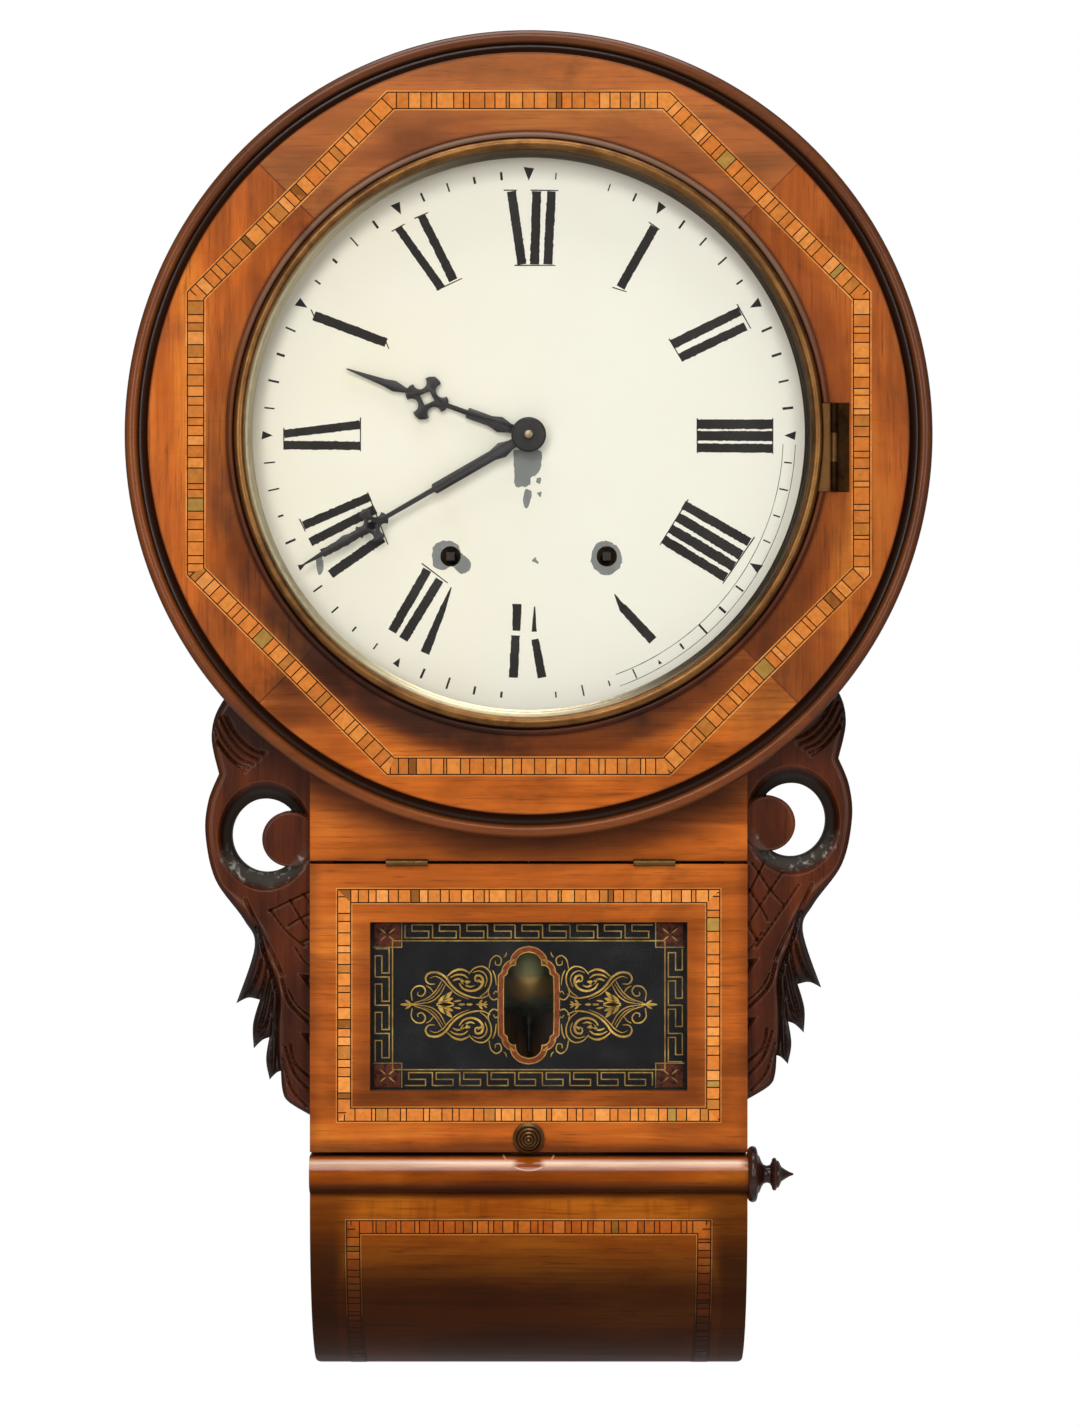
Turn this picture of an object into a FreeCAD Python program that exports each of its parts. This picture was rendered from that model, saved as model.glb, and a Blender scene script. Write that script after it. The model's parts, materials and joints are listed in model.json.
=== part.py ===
import FreeCAD, Part
import math
import os
import Sketcher
from types import SimpleNamespace
from FreeCAD import Placement, Rotation, Vector

# Driving dimensions in millimetres and degrees. Heights are taken up from the dial axis, drops down
# from it, and depths from the wall towards the room.
SIZES = {
    "dial_drop": 150.0,
    "hanging_hole_radius": 4.5,
    "trunk_width": 236.0,
    "case_depth": 100.0,
    "back_thick": 10.0,
    "side_thick": 12.0,
    "front_thick": 16.0,
    "panel_thick": 8.0,
    "case_top": 172.0,
    "top_thick": 12.0,
    "seat_drop": 172.0,
    "rail_drop": 229.0,
    "door_drop": 386.0,
    "roll_drop": 387.7,
    "roll_radius": 10.1,
    "base_straight": 11.6,
    "inlay_thick": 0.8,
    "surround_border": 60.2,
    "surround_thick": 24.0,
    "surround_edge": 12.7,
    "surround_bead_radius": 3.85,
    "octagon_margin": 5.42,
    "octagon_band": 10.7,
    "bezel_lap": 1.5,
    "bezel_bead": 3.0,
    "bezel_wide": 9.9,
    "glass_inset": 4.5,
    "bezel_hinge_length": 47.0,
    "bezel_hinge_drop": 7.5,
    "dial_radius": 156.0,
    "dial_set": 6.0,
    "dial_rest": 6.0,
    "dial_thick": 1.0,
    "winding_x": 42.0,
    "winding_drop": 65.0,
    "winding_hole_radius": 5.5,
    "window_width": 171.2,
    "window_top": 262.0,
    "window_bottom": 353.0,
    "door_band_width": 208.0,
    "door_band_top": 243.4,
    "door_band_bottom": 370.3,
    "band_wide": 9.0,
    "glass_thick": 2.0,
    "hinge_radius": 1.9,
    "hinge_pin_radius": 0.9,
    "hinge_gap": 1.6,
    "door_hinge_length": 22.4,
    "door_hinge_spacing": 133.3,
    "knob_radius": 8.5,
    "knob_drop": 378.3,
    "spindle_radius": 2.4,
    "base_band_width": 198.4,
    "base_band_top": 421.9,
    "ear_thick": 22.0,
    "ear_set_back": 8.0,
    "ear_top": 122.0,
    "ear_height": 245.2,
    "ear_raise": 8.5,
    "plate_half_width": 80.0,
    "plate_top": 60.0,
    "plate_drop": 112.0,
    "plate_thick": 2.0,
    "back_plate_depth": 30.0,
    "front_plate_depth": 68.0,
    "pillar_top_x": 72.0,
    "pillar_top": 52.0,
    "pillar_low_x": 24.0,
    "pillar_drop": 106.0,
    "pivot_radius": 1.0,
    "pivot_play": 0.08,
    "spring_inner": 5.0,
    "spring_radius": 28.5,
    "spring_thick": 0.7,
    "spring_wide": 18.0,
    "second_x": 24.2,
    "second_drop": 29.3,
    "third_x": 14.0,
    "third_rise": 14.3,
    "escape_rise": 26.4,
    "anchor_rise": 46.4,
    "strike_second_x": 48.6,
    "strike_second_drop": 27.6,
    "strike_third_x": 38.0,
    "strike_third_drop": 2.5,
    "fly_x": 48.0,
    "fly_rise": 13.9,
    "hammer_x": 64.0,
    "hammer_rise": 6.0,
    "motion_x": 18.0,
    "motion_drop": 10.8,
    "pendulum_depth": 21.0,
    "bob_drop": 289.0,
    "bob_radius": 29.0,
    "bob_thick": 12.0,
    "rod_radius": 1.5,
    "gong_x": 40.0,
    "gong_drop": 185.0,
    "gong_radius": 32.0,
    "gong_wire": 1.5,
    "gong_depth": 27.0,
    "hour_hand_short": 52.0,
    "hour_hand_tip": 46.0,
    "minute_hand_short": 16.0,
    "minute_hand_tip": 43.0,
    "hand_gap": 2.5,
    "hand_thick": 1.0,
    "hub_radius": 9.4,
}

FRONT = Rotation(Vector(1, 0, 0), 90)
RIGHT = Rotation(Vector(0, 1, 0), 90)
UPRIGHT = Rotation()
EIGHTH = math.tan(math.radians(22.5))

doc = FreeCAD.newDocument("drop_dial_clock")
sheet = doc.addObject("Spreadsheet::Sheet", "Sizes")
for row, (alias, number) in enumerate(SIZES.items(), start=1):
    sheet.set(f"A{row}", alias)
    sheet.set(f"B{row}", str(number))
    sheet.setAlias(f"B{row}", alias)
doc.recompute()

PIECES = {}


def formula_of(number):
    return number.formula if isinstance(number, Size) else repr(float(number))


class Size(float):
    """A number that carries the sheet formula it came from."""

    def __new__(cls, number, formula):
        size = super().__new__(cls, number)
        size.formula = formula
        return size

    def __add__(self, other):
        return Size(float(self) + float(other), f"({self.formula} + {formula_of(other)})")

    def __radd__(self, other):
        return Size(float(other) + float(self), f"({formula_of(other)} + {self.formula})")

    def __sub__(self, other):
        return Size(float(self) - float(other), f"({self.formula} - {formula_of(other)})")

    def __rsub__(self, other):
        return Size(float(other) - float(self), f"({formula_of(other)} - {self.formula})")

    def __mul__(self, other):
        return Size(float(self) * float(other), f"({self.formula} * {formula_of(other)})")

    __rmul__ = __mul__

    def __truediv__(self, other):
        return Size(float(self) / float(other), f"({self.formula} / {formula_of(other)})")

    def __neg__(self):
        return Size(-float(self), f"(0 - {self.formula})")


S = SimpleNamespace(**{alias: Size(sheet.get(alias), f"Sizes.{alias}") for alias in SIZES})

# Sizes that follow from the driving ones.
S.base_top = S.roll_drop + 2 * S.roll_radius
S.base_curve = S.case_depth - S.back_thick
S.curve_top = S.base_top + S.base_straight
S.case_bottom = S.curve_top + S.base_curve
S.surround_radius = S.dial_radius + S.surround_border
S.surround_flat = S.surround_radius - S.surround_edge
S.surround_bore = S.dial_radius - S.dial_rest
S.surround_face = S.case_depth + S.surround_thick
S.octagon_outer = (S.surround_flat - S.octagon_margin) * math.cos(math.radians(22.5))
S.bezel_radius = S.dial_radius + S.bezel_lap
S.bezel_sight = S.bezel_radius - S.bezel_wide
S.bezel_glass_radius = S.bezel_radius - S.glass_inset
S.dial_depth = S.case_depth + S.dial_set
S.hour_hand_depth = S.dial_depth + S.dial_thick + S.hand_gap
S.minute_hand_depth = S.hour_hand_depth + S.hand_thick + S.hand_gap
S.hour_hand_length = S.dial_radius - S.hour_hand_short
S.minute_hand_length = S.dial_radius - S.minute_hand_short
S.ear_depth = S.case_depth - S.ear_set_back


def bind(owner, prop, number):
    """Sets a property, tied to the sheet where the number comes from it."""
    if isinstance(number, Size):
        owner.setExpression(prop, number.formula)
    else:
        setattr(owner, prop, number)


def place(owner, spot, turn=UPRIGHT):
    """Places an object at a spot given from the dial axis on the wall plane."""
    x, y, z = spot
    z = z - S.dial_drop
    owner.Placement = Placement(Vector(x, y, z), turn)
    for axis, number in zip("xyz", (x, y, z)):
        if isinstance(number, Size):
            owner.setExpression(f"Placement.Base.{axis}", number.formula)


def keep(label, piece):
    piece.Label = label
    PIECES[label] = piece
    return piece


def box(name, x, y, z):
    """A block between pairs of limits."""
    block = doc.addObject("Part::Box", name)
    bind(block, "Length", x[1] - x[0])
    bind(block, "Width", y[1] - y[0])
    bind(block, "Height", z[1] - z[0])
    place(block, (x[0], y[0], z[0]))
    return block


def rod(name, start, turn, radius, length):
    """A round bar that runs forwards, to the right or up from its start."""
    bar = doc.addObject("Part::Cylinder", name)
    bind(bar, "Radius", radius)
    bind(bar, "Height", length)
    place(bar, start, turn)
    return bar


def cut(name, base, tool):
    piece = doc.addObject("Part::Cut", name)
    piece.Base = base
    piece.Tool = tool
    return piece


def fuse(name, pieces):
    piece = doc.addObject("Part::MultiFuse", name)
    piece.Shapes = pieces
    return piece


def group(name, pieces):
    piece = doc.addObject("Part::Compound", name)
    piece.Links = pieces
    return piece


def feature(name, shape, spot=(0, 0, 0), turn=UPRIGHT):
    """A piece whose form follows a formula in code."""
    piece = doc.addObject("Part::Feature", name)
    piece.Shape = shape
    place(piece, spot, turn)
    return piece


def body_of(name, spot=(0, 0, 0)):
    body = doc.addObject("PartDesign::Body", name)
    place(body, spot)
    return body


def fix_point(sketch, index, end, point):
    """Holds one sketch point at its coordinates."""
    for kind, number, axis in (("DistanceX", point[0], -2), ("DistanceY", point[1], -1)):
        if float(number) == 0.0:
            sketch.addConstraint(Sketcher.Constraint("PointOnObject", index, end, axis))
            continue
        row = sketch.addConstraint(Sketcher.Constraint(kind, index, end, float(number)))
        if isinstance(number, Size):
            sketch.setExpression(f"Constraints[{row}]", number.formula)


def fix_radius(sketch, index, radius):
    row = sketch.addConstraint(Sketcher.Constraint("Radius", index, abs(float(radius))))
    if isinstance(radius, Size):
        formula = radius.formula if radius > 0 else f"(0 - {radius.formula})"
        sketch.setExpression(f"Constraints[{row}]", formula)


def edge_between(start, end, radius):
    """A line, or an arc that bends left for a positive radius and right for a negative one."""
    first = Vector(start[0], start[1])
    last = Vector(end[0], end[1])
    if not radius:
        return Part.LineSegment(first, last)
    chord = last - first
    side = Vector(-chord.y, chord.x).normalize()
    reach = math.sqrt(max(float(radius) ** 2 - chord.Length ** 2 / 4, 0.0))
    middle = (first + last) / 2 - side * math.copysign(abs(float(radius)) - reach, float(radius))
    return Part.Arc(first, middle, last) if radius > 0 else Part.Arc(last, middle, first)


def add_outline(sketch, corners):
    """Adds a closed outline. A corner is (x, y), or (x, y, radius) where an arc leaves it."""
    offset = sketch.GeometryCount
    spots = [Vector(corner[0], corner[1]) for corner in corners]
    bends = [corner[2] if len(corner) > 2 else None for corner in corners]
    total = len(corners)
    for i in range(total):
        sketch.addGeometry(edge_between(corners[i], corners[(i + 1) % total], bends[i]), False)

    def end_at(index, spot):
        return 1 if (sketch.Geometry[offset + index].StartPoint - spot).Length < 1e-6 else 2

    for i in range(total):
        after = (i + 1) % total
        near = end_at(i, spots[after])
        sketch.addConstraint(Sketcher.Constraint(
            "Coincident", offset + i, near, offset + after, end_at(after, spots[after])))
    for i in range(total):
        fix_point(sketch, offset + i, end_at(i, spots[i]), corners[i])
        if bends[i]:
            fix_radius(sketch, offset + i, bends[i])


def add_circle(sketch, x, y, radius):
    index = sketch.addGeometry(Part.Circle(Vector(x, y), Vector(0, 0, 1), float(radius)), False)
    fix_point(sketch, index, 3, (x, y))
    fix_radius(sketch, index, radius)


def sketch_on(body, role, lift, outlines=(), circles=()):
    """A sketch on one of the body's own planes, lifted along the plane's normal."""
    sketch = body.newObject("Sketcher::SketchObject", f"{body.Name}_sketch")
    plane = next(part for part in body.Origin.OriginFeatures if part.Role == role)
    sketch.AttachmentSupport = [(plane, "")]
    sketch.MapMode = "FlatFace"
    sketch.AttachmentOffset = Placement(Vector(0, 0, float(lift)), UPRIGHT)
    if isinstance(lift, Size):
        sketch.setExpression("AttachmentOffset.Base.z", lift.formula)
    for corners in outlines:
        add_outline(sketch, corners)
    for circle in circles:
        add_circle(sketch, *circle)
    return sketch


def sawn(name, role, lift, thick, outlines=(), circles=(), spot=(0, 0, 0)):
    """A body cut to an outline from flat stock."""
    body = body_of(name, spot)
    pad = body.newObject("PartDesign::Pad", f"{name}_pad")
    pad.Profile = sketch_on(body, role, lift, outlines, circles)
    bind(pad, "Length", thick)
    return body


def sink(body, lift, deep, outlines=(), circles=(), forwards=False):
    """Cuts a recess into a body from a plane parallel to the wall."""
    pocket = body.newObject("PartDesign::Pocket", f"{body.Name}_pocket")
    pocket.Profile = sketch_on(body, "XZ_Plane", lift, outlines, circles)
    pocket.Reversed = forwards
    bind(pocket, "Length", deep)


def turned(name, role, axis, corners, spot=(0, 0, 0)):
    """A body turned about its sketch's horizontal or vertical axis."""
    body = body_of(name, spot)
    sketch = sketch_on(body, role, 0.0, [corners])
    turn = body.newObject("PartDesign::Revolution", f"{name}_turn")
    turn.Profile = sketch
    turn.ReferenceAxis = (sketch, [axis])
    turn.Angle = 360.0
    return body


def lathe(name, corners, spot=(0, 0, 0)):
    """A body turned about the dial axis, or one parallel to it; corners are (depth, radius)."""
    return turned(name, "YZ_Plane", "H_Axis", [(-1 * c[0], *c[1:]) for c in corners], spot)


def oblong(x, z):
    return [(x[0], z[0]), (x[1], z[0]), (x[1], z[1]), (x[0], z[1])]


def octagon(apothem):
    near = apothem * EIGHTH
    return [(apothem, -near), (apothem, near), (near, apothem), (-near, apothem),
            (-apothem, near), (-apothem, -near), (-near, -apothem), (near, -apothem)]


def build_case():
    half = S.trunk_width / 2
    inner_top = S.case_top - S.top_thick
    rail_back = S.case_depth - S.front_thick
    base_top = S.base_top
    curve = S.base_curve
    curve_top = S.curve_top
    inside = curve - S.panel_thick
    panel_back = S.case_depth - S.panel_thick

    board = box("back_stock", (-half, half), (-S.back_thick, 0.0), (-S.case_bottom, S.case_top))
    hole = rod("hanging_hole", (0, 1.0, S.dial_drop), FRONT, S.hanging_hole_radius, S.back_thick + 2)
    keep("back_board", cut("back_board", board, hole))

    side = [(-S.back_thick, inner_top), (-S.case_depth, inner_top), (-S.case_depth, -S.seat_drop),
            (-rail_back, -S.seat_drop), (-rail_back, -base_top), (-panel_back, -base_top),
            (-panel_back, -curve_top, inside), (-S.back_thick, S.panel_thick - S.case_bottom)]
    keep("case_side_left", sawn("case_side_left", "YZ_Plane", -half, S.side_thick, [side]))
    keep("case_side_right",
         sawn("case_side_right", "YZ_Plane", half - S.side_thick, S.side_thick, [side]))
    keep("case_top", box("case_top", (-half, half), (-S.case_depth, -S.back_thick), (inner_top, S.case_top)))
    keep("front_rail", box("front_rail", (-half, half), (-S.case_depth, -rail_back),
                           (-S.rail_drop, -S.seat_drop)))

    nose = S.case_depth + S.roll_radius
    roll = [(-rail_back, -S.roll_drop), (-S.case_depth, -S.roll_drop, S.roll_radius),
            (-nose, -S.roll_drop - S.roll_radius, S.roll_radius), (-S.case_depth, -base_top),
            (-rail_back, -base_top)]
    keep("roll_rail", sawn("roll_rail", "YZ_Plane", -half, S.trunk_width, [roll]))
    finial = [(0, 0), (0, 13.4), (1.8, 15.1), (4.2, 15.1, -4.0), (7.0, 9.0, 5.0), (9.6, 4.6), (12.0, 4.6),
              (13.4, 8.4, -2.0), (15.8, 8.4, 9.0), (20.6, 3.0), (24.8, 0)]
    keep("roll_finial", turned("roll_finial", "XY_Plane", "H_Axis", finial,
                               (half, -S.case_depth, -S.roll_drop - S.roll_radius)))

    def shell(name, thick):
        deep = S.case_depth - thick
        return sawn(name, "YZ_Plane", -half, S.trunk_width, [[
            (-S.case_depth, -base_top), (-S.case_depth, -curve_top, curve), (-S.back_thick, -S.case_bottom),
            (-S.back_thick, thick - S.case_bottom, thick - curve), (-deep, -curve_top), (-deep, -base_top)]])

    reach = S.base_band_width / 2
    inner = reach - S.band_wide
    below = -S.case_bottom - 10.0
    through = (-S.case_depth - 1.0, -S.back_thick)
    arch = cut("base_arch",
               box("base_arch_outer", (-reach, reach), through, (below, -S.base_band_top)),
               box("base_arch_inner", (-inner, inner), through, (below, -S.base_band_top - S.band_wide)))
    inlay = doc.addObject("Part::Common", "base_inlay")
    inlay.Base = shell("base_skin", S.inlay_thick)
    inlay.Tool = arch
    keep("base_inlay", inlay)
    keep("base_front", cut("base_front", shell("base_panel", S.panel_thick), inlay))


def build_surround():
    seat = S.case_depth
    face = S.surround_face
    rebate = S.dial_radius + 0.5
    recess = S.bezel_radius + 0.5
    ledge = face - 8.0
    dial_face = S.dial_depth + S.dial_thick
    bead = S.surround_bead_radius
    bead_base = face - 6.8
    groove = S.surround_radius - 2 * bead
    lip = recess + 3.0
    surround = lathe("dial_surround", [
        (seat, rebate), (dial_face, rebate), (dial_face, S.surround_bore), (ledge, S.surround_bore),
        (ledge, recess), (face, recess, -1.6), (face, lip), (face, S.surround_flat, 6.5),
        (bead_base, groove, -bead), (bead_base + bead, groove + bead, -bead), (bead_base, S.surround_radius),
        (seat + 4.0, S.surround_radius, -4.0), (seat, S.surround_radius - 4.0)])
    bands = [octagon(S.octagon_outer), octagon(S.octagon_outer - S.octagon_band)]
    sink(surround, face, S.inlay_thick, bands)
    half = S.bezel_hinge_length / 2 + 0.4
    sink(surround, face + 2.0, 3.6, [oblong((S.surround_bore, recess + 13.2),
                                            (-S.bezel_hinge_drop - half, half - S.bezel_hinge_drop))])
    screw_ring = S.dial_radius - 2.8
    screws = [(screw_ring * math.cos(math.radians(a)), screw_ring * math.sin(math.radians(a)), 1.2)
              for a in (35, 145, 215, 325)]
    sink(surround, dial_face, 6.0, circles=screws, forwards=True)
    keep("dial_surround", surround)
    keep("octagon_inlay", sawn("octagon_inlay", "XZ_Plane", face - S.inlay_thick, S.inlay_thick, bands))

    holes = [(0, 0, 5.5), (-S.winding_x, -S.winding_drop, S.winding_hole_radius),
             (S.winding_x, -S.winding_drop, S.winding_hole_radius)]
    keep("dial_plate", sawn("dial_plate", "XZ_Plane", S.dial_depth, S.dial_thick,
                            circles=[(0, 0, S.dial_radius)] + holes + screws))
    fixings = []
    for number, (x, z, radius) in enumerate(screws):
        head = rod(f"dial_screw_head_{number}", (x, 2.0 - S.dial_depth, z), FRONT, 2.6, 2.0)
        shank = rod(f"dial_screw_shank_{number}", (x, -S.dial_depth, z), FRONT, radius, S.dial_thick + 5.5)
        fixings.append(fuse(f"dial_screw_{number}", [head, shank]))
    keep("dial_screws", group("dial_screws", fixings))


def ear_shape(side):
    """One carved bracket, drawn for the left of the case and mirrored for the right."""
    root = float(S.trunk_width / 2)
    thick = float(S.ear_thick)
    front = float(S.ear_depth)
    top = float(S.ear_top)
    grow = float(S.ear_height) / 245.2

    def spot_at(out, drop, depth):
        return Vector(-root - out * grow, -depth, -top - (drop - 122) * grow)

    def curve(points):
        spots = [spot_at(out, drop, front - thick) for out, drop in points]
        if len(spots) == 2:
            return Part.makeLine(*spots)
        spline = Part.BSplineCurve()
        spline.interpolate(spots)
        return spline.toShape()

    stretches = [
        [(0, 122), (30, 124), (48.4, 143.8), (53.8, 161.6), (49.8, 182.2)],
        [(49.8, 182.2), (55.6, 197), (57.1, 215.2), (51.7, 239.5), (36.5, 261.2), (30.7, 275.8),
         (40.6, 306.6)],
        [(40.6, 306.6), (34, 303.6), (27.9, 304.8)],
        [(27.9, 304.8), (31.5, 318), (31.1, 331)],
        [(31.1, 331), (26.5, 326.6), (22.7, 325)],
        [(22.7, 325), (24.4, 337), (22.5, 348)],
        [(22.5, 348), (19, 344.4), (16.3, 343.2)],
        [(16.3, 343.2), (15.4, 353.5), (12.2, 359.7), (0, 367.2)],
        [(0, 367.2), (0, 122)]]
    outline = Part.Wire([curve(points) for points in stretches])
    ear = Part.Face(outline).extrude(Vector(0, -thick, 0))

    def oval(out, drop, across, tall, start, deep):
        disc = Part.makeCylinder(1, deep, Vector(), Vector(0, -1, 0))
        stretch = FreeCAD.Matrix()
        stretch.scale(across * grow, 1, tall * grow)
        disc = disc.transformGeometry(stretch)
        disc.translate(spot_at(out, drop, start))
        return disc

    eye = Part.makeCylinder(15 * grow, 2 * thick, spot_at(11.3, 217.4, front - thick - 5), Vector(0, -1, 0))
    loop = oval(24.6, 215.7, 19, 20, front - thick - 5, thick + 10).cut(eye)
    gouge = oval(24.6, 215.7, 26, 30, front - 5, 10).cut(eye)
    ear = ear.cut(loop).cut(gouge)
    if side == "right":
        ear = ear.mirror(Vector(), Vector(1, 0, 0))
    return ear


def build_ears():
    keep("ear_left", feature("ear_left", ear_shape("left")))
    keep("ear_right", feature("ear_right", ear_shape("right"), (0, 0, S.ear_raise)))


def knuckles(name, start, turn, lengths, step):
    """Barrel lengths of one hinge leaf, as (from, long) pairs along the hinge."""
    bars = []
    for number, (begin, long) in enumerate(lengths):
        spot = [start[axis] + step[axis] * begin for axis in range(3)]
        bars.append(rod(f"{name}_knuckle_{number}", spot, turn, S.hinge_radius, long))
    return bars


def build_bezel():
    face = S.surround_face
    wall = S.bezel_glass_radius + 0.2
    seat = face - 7.8
    glass_front = face - 4.0
    bead = S.bezel_bead
    crest = S.bezel_radius - bead
    keep("bezel_ring", lathe("bezel_ring", [
        (seat, wall), (glass_front, wall), (glass_front, S.bezel_sight), (glass_front + 0.6, S.bezel_sight),
        (face, crest - bead, -bead), (face + bead, crest, -bead), (face, S.bezel_radius),
        (seat, S.bezel_radius)]))
    keep("bezel_glass", rod("bezel_glass", (0, S.glass_thick - glass_front, 0), FRONT,
                            S.bezel_glass_radius, S.glass_thick))
    keep("bezel_glass_bead", lathe("bezel_glass_bead", [
        (glass_front - S.glass_thick - 1.2, S.bezel_sight + 1.0),
        (glass_front - S.glass_thick, S.bezel_sight + 1.0),
        (glass_front - S.glass_thick, wall), (glass_front - S.glass_thick - 1.2, wall)]))

    axis_x = S.bezel_radius + 5.5
    axis_depth = face + 1.0
    low = -S.bezel_hinge_drop - S.bezel_hinge_length / 2
    high = low + S.bezel_hinge_length
    third = S.bezel_hinge_length / 3
    start = (axis_x, -axis_depth, low)
    up = (0, 0, 1)
    fixed = knuckles("bezel_fixed", start, UPRIGHT, [(0.0, third), (2 * third, third)], up)
    fixed.append(rod("bezel_pin", start, UPRIGHT, S.hinge_pin_radius, S.bezel_hinge_length))
    fixed.append(box("bezel_fixed_plate", (axis_x + 2.2, axis_x + 7.8), (0.2 - face, 1.6 - face),
                     (low, high)))
    for number, bottom in enumerate((low, low + 2 * third)):
        fixed.append(box(f"bezel_fixed_tab_{number}", (axis_x, axis_x + 3.0), (0.2 - face, 1.6 - face),
                         (bottom, bottom + third)))
    keep("bezel_hinge_leaf", fuse("bezel_hinge_leaf", fixed))

    moving = knuckles("bezel_moving", start, UPRIGHT, [(third + 0.15, third - 0.3)], up)
    moving.append(box("bezel_moving_plate", (S.bezel_radius - 5.0, axis_x - 2.1), (0.3 - face, 1.4 - face),
                      (low, high)))
    moving.append(box("bezel_moving_tab", (axis_x - 3.0, axis_x), (0.3 - face, 1.4 - face),
                      (low + third + 0.15, low + 2 * third - 0.15)))
    leaf = fuse("bezel_moving_leaf", moving)
    bore = rod("bezel_moving_bore", start, UPRIGHT, S.hinge_pin_radius + 0.06, S.bezel_hinge_length)
    well = rod("bezel_moving_well", (0, 5.0 - face, 0), FRONT, S.bezel_radius, 10.0)
    keep("bezel_hinge_knuckle", cut("bezel_hinge_knuckle", leaf, fuse("bezel_moving_voids", [bore, well])))


def build_door():
    half = S.trunk_width / 2
    back = S.case_depth - S.front_thick
    top = -S.rail_drop - S.hinge_gap
    sight = S.window_width / 2
    pane = sight + 5.5
    rebate = pane + 0.5
    glass_front = S.case_depth - 9.0
    band = S.door_band_width / 2
    frame = sawn("door_frame", "XZ_Plane", back, S.front_thick, [
        oblong((-half, half), (-S.door_drop, top)),
        oblong((-sight, sight), (-S.window_bottom, -S.window_top))])
    sink(frame, back, glass_front - back,
         [oblong((-rebate, rebate), (-S.window_bottom - 6.0, 6.0 - S.window_top))], forwards=True)
    bands = [oblong((-band, band), (-S.door_band_bottom, -S.door_band_top)),
             oblong((S.band_wide - band, band - S.band_wide),
                    (S.band_wide - S.door_band_bottom, -S.door_band_top - S.band_wide))]
    sink(frame, S.case_depth, S.inlay_thick, bands)
    sink(frame, S.case_depth, S.front_thick, circles=[(0, -S.knob_drop, S.spindle_radius + 0.06)])
    keep("door_frame", frame)
    keep("door_inlay", sawn("door_inlay", "XZ_Plane", S.case_depth - S.inlay_thick, S.inlay_thick, bands))
    glass = (-glass_front, S.glass_thick - glass_front)
    keep("door_glass", box("door_glass", (-pane, pane), glass,
                           (-S.window_bottom - 5.5, 5.5 - S.window_top)))
    strip = (glass[1], -back)
    low = -S.window_bottom - 6.0
    high = 6.0 - S.window_top
    keep("door_glass_beads", group("door_glass_beads", [
        box("bead_low", (-rebate, rebate), strip, (low, low + 5.0)),
        box("bead_high", (-rebate, rebate), strip, (high - 5.0, high)),
        box("bead_left", (-rebate, 5.0 - rebate), strip, (low + 5.0, high - 5.0)),
        box("bead_right", (rebate - 5.0, rebate), strip, (low + 5.0, high - 5.0))]))

    axis_depth = S.case_depth + S.hinge_radius + 0.1
    middle = -S.rail_drop - S.hinge_gap / 2
    long = S.door_hinge_length
    upper = []
    lower = []
    for name, side in (("left", -1.0), ("right", 1.0)):
        x = side * S.door_hinge_spacing / 2 - long / 2 + 1.0
        start = (x, -axis_depth, middle)
        third = long / 3
        along = (1, 0, 0)
        flap = (-axis_depth, 12.0 - S.case_depth)
        fixed = knuckles(f"door_upper_{name}", start, RIGHT, [(0.0, third), (2 * third, third)], along)
        fixed.append(rod(f"door_pin_{name}", start, RIGHT, S.hinge_pin_radius, long))
        upper_z = (middle + 0.1, middle + S.hinge_gap / 2)
        fixed.append(box(f"door_upper_plate_{name}", (x, x + long), (0.3 - S.case_depth, flap[1]), upper_z))
        for part in (0, 2):
            fixed.append(box(f"door_upper_tab_{name}_{part}", (x + part * third, x + part * third + third),
                             (flap[0], 0.3 - S.case_depth), upper_z))
        upper.append(fuse(f"door_upper_{name}", fixed))
        moving = knuckles(f"door_lower_{name}", start, RIGHT, [(third + 0.15, third - 0.3)], along)
        lower_z = (middle - S.hinge_gap / 2, middle - 0.1)
        moving.append(box(f"door_lower_plate_{name}", (x, x + long), (0.3 - S.case_depth, flap[1]), lower_z))
        moving.append(box(f"door_lower_tab_{name}", (x + third + 0.15, x + 2 * third - 0.15),
                          (flap[0], 0.3 - S.case_depth), lower_z))
        bore = rod(f"door_bore_{name}", start, RIGHT, S.hinge_pin_radius + 0.06, long)
        lower.append(cut(f"door_lower_{name}", fuse(f"door_lower_stock_{name}", moving), bore))
    keep("door_hinge_upper_leaves", group("door_hinge_upper_leaves", upper))
    keep("door_hinge_lower_leaves", group("door_hinge_lower_leaves", lower))

    face = S.case_depth
    spot = (0, 0, -S.knob_drop)
    knob = S.knob_radius
    keep("door_knob", lathe("door_knob", [
        (back - 3.5, 0), (back - 3.5, S.spindle_radius), (face + 0.1, S.spindle_radius), (face + 0.1, knob),
        (face + 2.4, knob), (face + 3.0, knob * 0.82), (face + 6.0, knob * 0.78), (face + 6.0, knob * 0.55),
        (face + 11.0, knob * 0.5, 5.0), (face + 13.4, 0.8), (face + 13.4, 0)], spot))
    keep("door_latch", sawn("door_latch", "XZ_Plane", back - 2.5, 2.0, [[
        (-6.0, -4.0), (13.0, -4.0), (16.0, -2.0), (16.0, 2.0), (13.0, 4.0), (-6.0, 4.0)]],
        [(0, 0, S.spindle_radius)], spot))


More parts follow.
